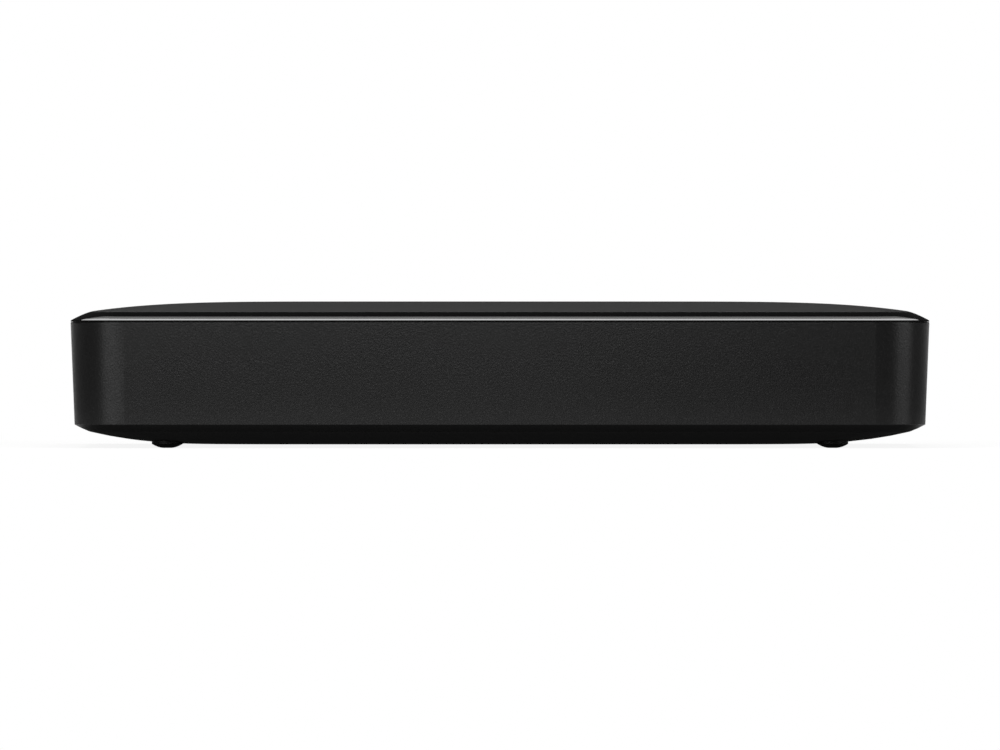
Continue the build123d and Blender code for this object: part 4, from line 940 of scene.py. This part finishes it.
class DRIVE_OT_disks(bpy.types.Operator):
    """Finish the spindle motor and the pack of disks that it turns"""

    bl_idname = "drive.disks"
    bl_label = "Motor and disks"

    def execute(self, context):
        centre = spindle_centre
        platters = ["lower_platter", "upper_platter"]
        hub_parts = ["spindle_hub", "platter_spacer"]
        finish_nodes(
            (turned_material("bearing_bronze", (0.55, 0.36, 0.16), centre, 0.08), ["motor_sleeve"]),
            (brushed_material("laminated_steel", (0.42, 0.42, 0.43), 0.4), ["motor_stator"]),
            (turned_material("stator_copper", (0.7, 0.3, 0.12), centre, 0.14, 0.3, 0.03), ["stator_coils"]),
            (turned_material("turned_hub", (0.7, 0.71, 0.72), centre, 0.06), hub_parts),
            (cast_material("rotor_magnet", (0.3, 0.29, 0.28), 0.5), ["rotor_magnet"]),
            (turned_material("platter_face", (0.72, 0.72, 0.73), centre, 0.05, 0.06, 0.0002), platters),
            (turned_material("clamp_steel", (0.62, 0.62, 0.63), centre, 0.09), ["disk_clamp"]),
        )
        return {"FINISHED"}


def ribbon_rings(shape):
    """Rings of a thin rectangle carried along a cubic from the bracket to the arm, and its two ends.

    The cubic leaves the bracket along X and meets the arm's round side along its tangent, each end slope
    being as long as the straight line between the ends. Each ring stands upright, square to the route."""
    steps = 65
    out = np.array([math.cos(shape.end_angle), math.sin(shape.end_angle)])
    start = np.array([ribbon_low.x, shape.start_y])
    end = np.array([pivot_centre.x, pivot_centre.y]) + shape.end_radius * out
    reach = np.linalg.norm(end - start)
    start_slope = reach * np.array([1.0, 0.0])
    end_slope = reach * np.array([out[1], -out[0]])
    t = np.linspace(0, 1, steps)[:, None]
    route = (
        (2 * t**3 - 3 * t**2 + 1) * start
        + (t**3 - 2 * t**2 + t) * start_slope
        + (3 * t**2 - 2 * t**3) * end
        + (t**3 - t**2) * end_slope
    )
    slope = (
        (6 * t**2 - 6 * t) * (start - end)
        + (3 * t**2 - 4 * t + 1) * start_slope
        + (3 * t**2 - 2 * t) * end_slope
    )
    along = slope / np.linalg.norm(slope, axis=1)[:, None]
    across = np.stack([-along[:, 1], along[:, 0]], axis=-1)
    section = np.array([(-1, 0), (1, 0), (1, 1), (-1, 1)]) * (shape.thickness / 2, 1.0)
    rings = np.empty((len(t), len(section), 3))
    rings[:, :, :2] = route[:, None] + across[:, None] * section[None, :, :1]
    rings[:, :, 2] = ribbon_low.z + section[:, 1] * (ribbon_high.z - ribbon_low.z)
    return rings, start, end


class DRIVE_OT_arms(bpy.types.Operator):
    """Finish the head arms with their motor and ramp, and build the ribbon between the bracket and the arm
    """

    bl_idname = "drive.arms"
    bl_label = "Head arms"

    def execute(self, context):
        plated = ["lower_magnet", "upper_magnet"]
        bearing = ["pivot_shaft", "pivot_sleeve"]
        plastic = ["load_ramp", "flex_bracket"]
        finish_nodes(
            (turned_material("turned_arm_block", (0.68, 0.69, 0.7), pivot_centre, 0.07), ["arm_block"]),
            (turned_material("pivot_steel", (0.6, 0.6, 0.61), pivot_centre, 0.05), bearing),
            (turned_material("coil_copper", (0.7, 0.3, 0.12), coil_centre, 0.12, 0.3, 0.03), ["voice_coil"]),
            (brushed_material("spring_steel", (0.6, 0.6, 0.61), 0.3, 0.00005), ["head_suspensions"]),
            (cast_material("plated_magnet", (0.62, 0.6, 0.56), 0.22, 0.003), plated),
            (brushed_material("yoke_steel", (0.5, 0.5, 0.51), 0.35), ["lower_yoke", "upper_yoke"]),
            (moulded_material("ramp_plastic", (0.55, 0.52, 0.43), 0.4), plastic),
        )
        rings, start, end = ribbon_rings(context.scene.drive_ribbon)
        shell = capped_sweep(rings)
        ribbon = add_piece("flex_ribbon", shell, None, "flex_film", ribbon_material(), ["flex_circuit"])
        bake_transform(ribbon)
        return {"FINISHED"}


# Studio


def softbox(name, centre, target, width, height, radiance):
    """Rectangular lamp that faces a point; its power is four times its area times its radiance."""
    data = bpy.data.lights.new(name, "AREA")
    data.shape = "RECTANGLE"
    data.size = width
    data.size_y = height
    data.energy = 4 * width * height * radiance
    lamp = bpy.data.objects.new(name, data)
    bpy.context.scene.collection.objects.link(lamp)
    lamp.location = centre
    lamp.rotation_euler = (target - centre).to_track_quat("-Z", "Y").to_euler()
    lamp.visible_camera = False


def from_front(azimuth, elevation, distance, origin):
    """A place at an angle to the left of the camera and one above the floor, as seen from an origin."""
    turn, lift = math.radians(azimuth), math.radians(elevation)
    direction = Vector((-math.sin(turn) * math.cos(lift), -math.cos(turn) * math.cos(lift), math.sin(lift)))
    return origin + distance * direction


def floor_material(studio):
    """Matte floor that the camera sees as white, with the drive's shadow on it.

    Near the drive the camera sees a share of the real light, topped up to white, and plain white further
    out. Polished and clear surfaces see that white far out and close beside the walls, and a dim floor
    between. All other light meets a dark floor."""
    shadow_near, shadow_far, mirror_near, mirror_far = 0.07, 0.2, 0.35, 0.9
    paper_per_metre, paper_low, paper_high, dark = 900.0, 0.78, 0.82, (0.1, 0.1, 0.1)
    material = bpy.data.materials.new("pale_floor")
    tree = empty_tree(material)
    place = object_place(tree)
    distance = vector_length(tree, place)
    path = add_node(tree, "ShaderNodeLightPath").outputs
    near = ramp(tree, distance, shadow_near, shadow_far, studio.shadow_share, 0.0)
    paper = ramp(tree, noise(tree, place, paper_per_metre, detail=3.0), 0.3, 0.7, paper_low, paper_high)
    white = calculate(tree, "MULTIPLY", near, paper)
    tone = mix_colour(tree, path["Is Camera Ray"], dark, white)
    matte = add_node(tree, "ShaderNodeBsdfDiffuse", {"Color": tone})
    topped_up = calculate(tree, "SUBTRACT", 1.0, calculate(tree, "MULTIPLY", near, studio.floor_level))
    seen = calculate(tree, "MULTIPLY", topped_up, path["Is Camera Ray"])
    polished = calculate(tree, "MAXIMUM", path["Is Glossy Ray"], path["Is Transmission Ray"])
    past_walls = calculate_vector(tree, "SUBTRACT", calculate_vector(tree, "ABSOLUTE", place), cad_high)
    gap = vector_length(tree, calculate_vector(tree, "MAXIMUM", past_walls))
    beside = ramp(tree, gap, studio.bounce_near, studio.bounce_far, studio.bounce_light, 0.0)
    beside = calculate(tree, "MULTIPLY", beside, ramp(tree, gap, 0.0, EDGE_BLEND))
    far_out = ramp(tree, distance, mirror_near, mirror_far, studio.floor_mirror, 1.0)
    mirrored = calculate(tree, "MULTIPLY", calculate(tree, "MAXIMUM", far_out, beside), polished)
    glow = add_node(tree, "ShaderNodeEmission", {"Strength": calculate(tree, "ADD", seen, mirrored)})
    show(tree, add_node(tree, "ShaderNodeAddShader", {0: matte.outputs[0], 1: glow.outputs[0]}))
    return material


def add_stage(name, sheet, material):
    """A sheet of the studio, which is no part of the drive."""
    thing = add_object(name, sheet, material)
    return thing


def add_arch(shape, studio):
    """Ribbon of light behind the drive, which the bevel mirrors as a bright band below a dim one.

    Where the bevel has turned by phi from the front and slopes by t, a level ray leaves it towards x of
    minus twice sin squared t times cos phi times sin phi, y of one less twice sin squared t times cos
    squared phi, and z of twice sin t times cos t times cos phi. The ribbon joins the ends of such rays, of
    one length, over phi round both corners and over four slopes: two for the dim edge and two for the bright
    part. The lowest slope climbs to the rim's as the band runs out, the start of the bright part climbs a
    share of that, and the light fades there, because the bevel mirrors more at a flatter angle."""
    taper_start, taper_end, taper_power = math.radians(25), math.radians(54.5), 1.5
    columns, bright_climb, fade, step = 33, 0.75, 0.66, math.radians(0.02)
    rim_slope = math.atan(shape.bevel_slope)
    phi = np.linspace(0, taper_end, columns)
    climb = np.clip((phi - taper_start) / (taper_end - taper_start), 0, 1) ** taper_power
    edge = studio.arch_edge_slope + (rim_slope - studio.arch_edge_slope) * climb
    bright = np.maximum(studio.arch_slope + bright_climb * (rim_slope - studio.arch_slope) * climb, edge)
    far = np.full_like(phi, rim_slope + studio.arch_reach)
    t = np.stack([edge - step, bright, bright + step, far])
    out = np.stack(
        [
            -2 * np.sin(t) ** 2 * np.cos(phi) * np.sin(phi),
            1 - 2 * np.sin(t) ** 2 * np.cos(phi) ** 2,
            2 * np.sin(t) * np.cos(t) * np.cos(phi),
        ]
    )
    x = lid_low.x + shape.corner * (1 - np.sin(phi)) + studio.arch_distance * out[0]
    y = lid_low.y + shape.corner * (1 - np.cos(phi)) + studio.arch_distance * out[1]
    z = seat_of(shape) + studio.arch_distance * out[2]
    level = np.repeat([studio.arch_edge_light, studio.arch_light], 2)[:, None]
    level = level * (1 - fade * (phi / taper_end) ** taper_power)
    halves = ((x, -x), (y, y), (z, z), (level, level))
    x, y, z, level = (np.concatenate([left[:, ::-1], right], axis=1) for left, right in halves)
    material = bpy.data.materials.new("arch_glow")
    tree = empty_tree(material)
    strength = add_node(tree, "ShaderNodeAttribute", attribute_name="level").outputs["Fac"]
    show(tree, add_node(tree, "ShaderNodeEmission", {"Strength": strength}))
    arch = add_stage("arch", open_sheet(x, y, z), material)
    arch.data.attributes.new("level", "FLOAT", "POINT").data.foreach_set("value", level.ravel())
    arch.visible_camera = False


def studio_world(studio):
    """White up to a narrow band above the horizon, where a backdrop would stand, and dim above it."""
    band_low, band_high = 0.014, 0.025
    world = bpy.data.worlds.new("studio")
    tree = empty_tree(world)
    direction = add_node(tree, "ShaderNodeTexCoord").outputs["Generated"]
    rise = height_of(tree, direction)
    level = ramp(tree, rise, band_low, band_high, 1.0, studio.ambient)
    background = add_node(tree, "ShaderNodeBackground", {"Color": (1, 1, 1, 1), "Strength": level})
    show(tree, background, "ShaderNodeOutputWorld")
    bpy.context.scene.world = world


def add_camera(studio, corner):
    """Far camera on a long lens, aimed at the middle of the picture from a little above it."""
    data = bpy.data.cameras.new("camera")
    data.lens = studio.lens
    data.sensor_width = 36.0
    camera = bpy.data.objects.new("camera", data)
    bpy.context.scene.collection.objects.link(camera)
    distance = studio.field_width * studio.lens / data.sensor_width
    camera.location = (0, cad_low.y + corner - distance, studio.eye_height)
    dip = math.atan((studio.eye_height - studio.aim_height) / distance)
    camera.rotation_euler = (math.pi / 2 - dip, 0, 0)
    bpy.context.scene.camera = camera


class DRIVE_OT_studio(bpy.types.Operator):
    """Set up the pale floor, the arch, the soft lamps and the far camera"""

    bl_idname = "drive.studio"
    bl_label = "Studio"

    def execute(self, context):
        shape, studio = context.scene.drive_lid, context.scene.drive_studio
        floor_reach, floor_lines, fill_shift = 7.0, 15, -12 * MM
        lines = np.linspace(-floor_reach, floor_reach, floor_lines)
        x, y = np.meshgrid(lines, lines, indexing="ij")
        add_stage("floor", open_sheet(x, y, np.zeros_like(x)), floor_material(studio))
        add_arch(shape, studio)
        studio_world(studio)
        left = Vector((cad_low.x, cad_low.y, 0))
        right = Vector((cad_high.x, cad_low.y, 0))
        front = Vector((fill_shift, cad_low.y, studio.aim_height))
        top = Vector((0, 0, cad_high.z))
        # Name, place that it faces, degrees to the left and up, distance, width, height, radiance
        lamps = (
            ("left_softbox", left, 30, 17, 0.22, 0.152, 0.13, studio.left_light),
            ("right_softbox", right, -65, 17, 0.22, 0.145, 0.13, studio.right_light),
            ("fill", front, 0, 14, 0.15, 0.08, 0.06, studio.fill_light),
            ("top_softbox", top, 0, 89, 0.5, 0.5, 0.5, studio.top_light),
        )
        for name, target, azimuth, elevation, distance, width, height, radiance in lamps:
            centre = from_front(azimuth, elevation, distance, target)
            softbox(name, centre, target, width, height, radiance)
        add_camera(studio, shape.corner)
        context.scene.view_settings.view_transform = "Standard"
        return {"FINISHED"}


STEPS = (
    DRIVE_OT_lid,
    DRIVE_OT_tub,
    DRIVE_OT_feet,
    DRIVE_OT_mounts,
    DRIVE_OT_socket,
    DRIVE_OT_board,
    DRIVE_OT_housing,
    DRIVE_OT_disks,
    DRIVE_OT_arms,
    DRIVE_OT_studio,
)


class DRIVE_PT_sidebar(bpy.types.Panel):
    """Lists the steps that dress the drive"""

    bl_label = "Hard Drive"
    bl_idname = "DRIVE_PT_sidebar"
    bl_space_type = "VIEW_3D"
    bl_region_type = "UI"
    bl_category = "Hard Drive"

    def draw(self, context):
        for step in STEPS:
            self.layout.operator(step.bl_idname)


SETTINGS = {
    "drive_lid": LidShape,
    "drive_feet": FootShape,
    "drive_ribbon": RibbonShape,
    "drive_case": CaseFinish,
    "drive_studio": StudioSetup,
}


def register():
    """Register the classes and the scene's settings."""
    for cls in (*SETTINGS.values(), *STEPS, DRIVE_PT_sidebar):
        bpy.utils.register_class(cls)
    for name, cls in SETTINGS.items():
        setattr(bpy.types.Scene, name, PointerProperty(type=cls))


def unregister():
    """Remove the settings and the classes."""
    for name in SETTINGS:
        delattr(bpy.types.Scene, name)
    for cls in (DRIVE_PT_sidebar, *reversed(STEPS), *SETTINGS.values()):
        bpy.utils.unregister_class(cls)


def main():
    """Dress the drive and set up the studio."""
    register()
    bpy.ops.drive.lid()
    bpy.ops.drive.tub()
    bpy.ops.drive.feet()
    bpy.ops.drive.mounts()
    bpy.ops.drive.socket()
    bpy.ops.drive.board()
    bpy.ops.drive.housing()
    bpy.ops.drive.disks()
    bpy.ops.drive.arms()
    bpy.ops.drive.studio()


if __name__ == "__main__":
    main()
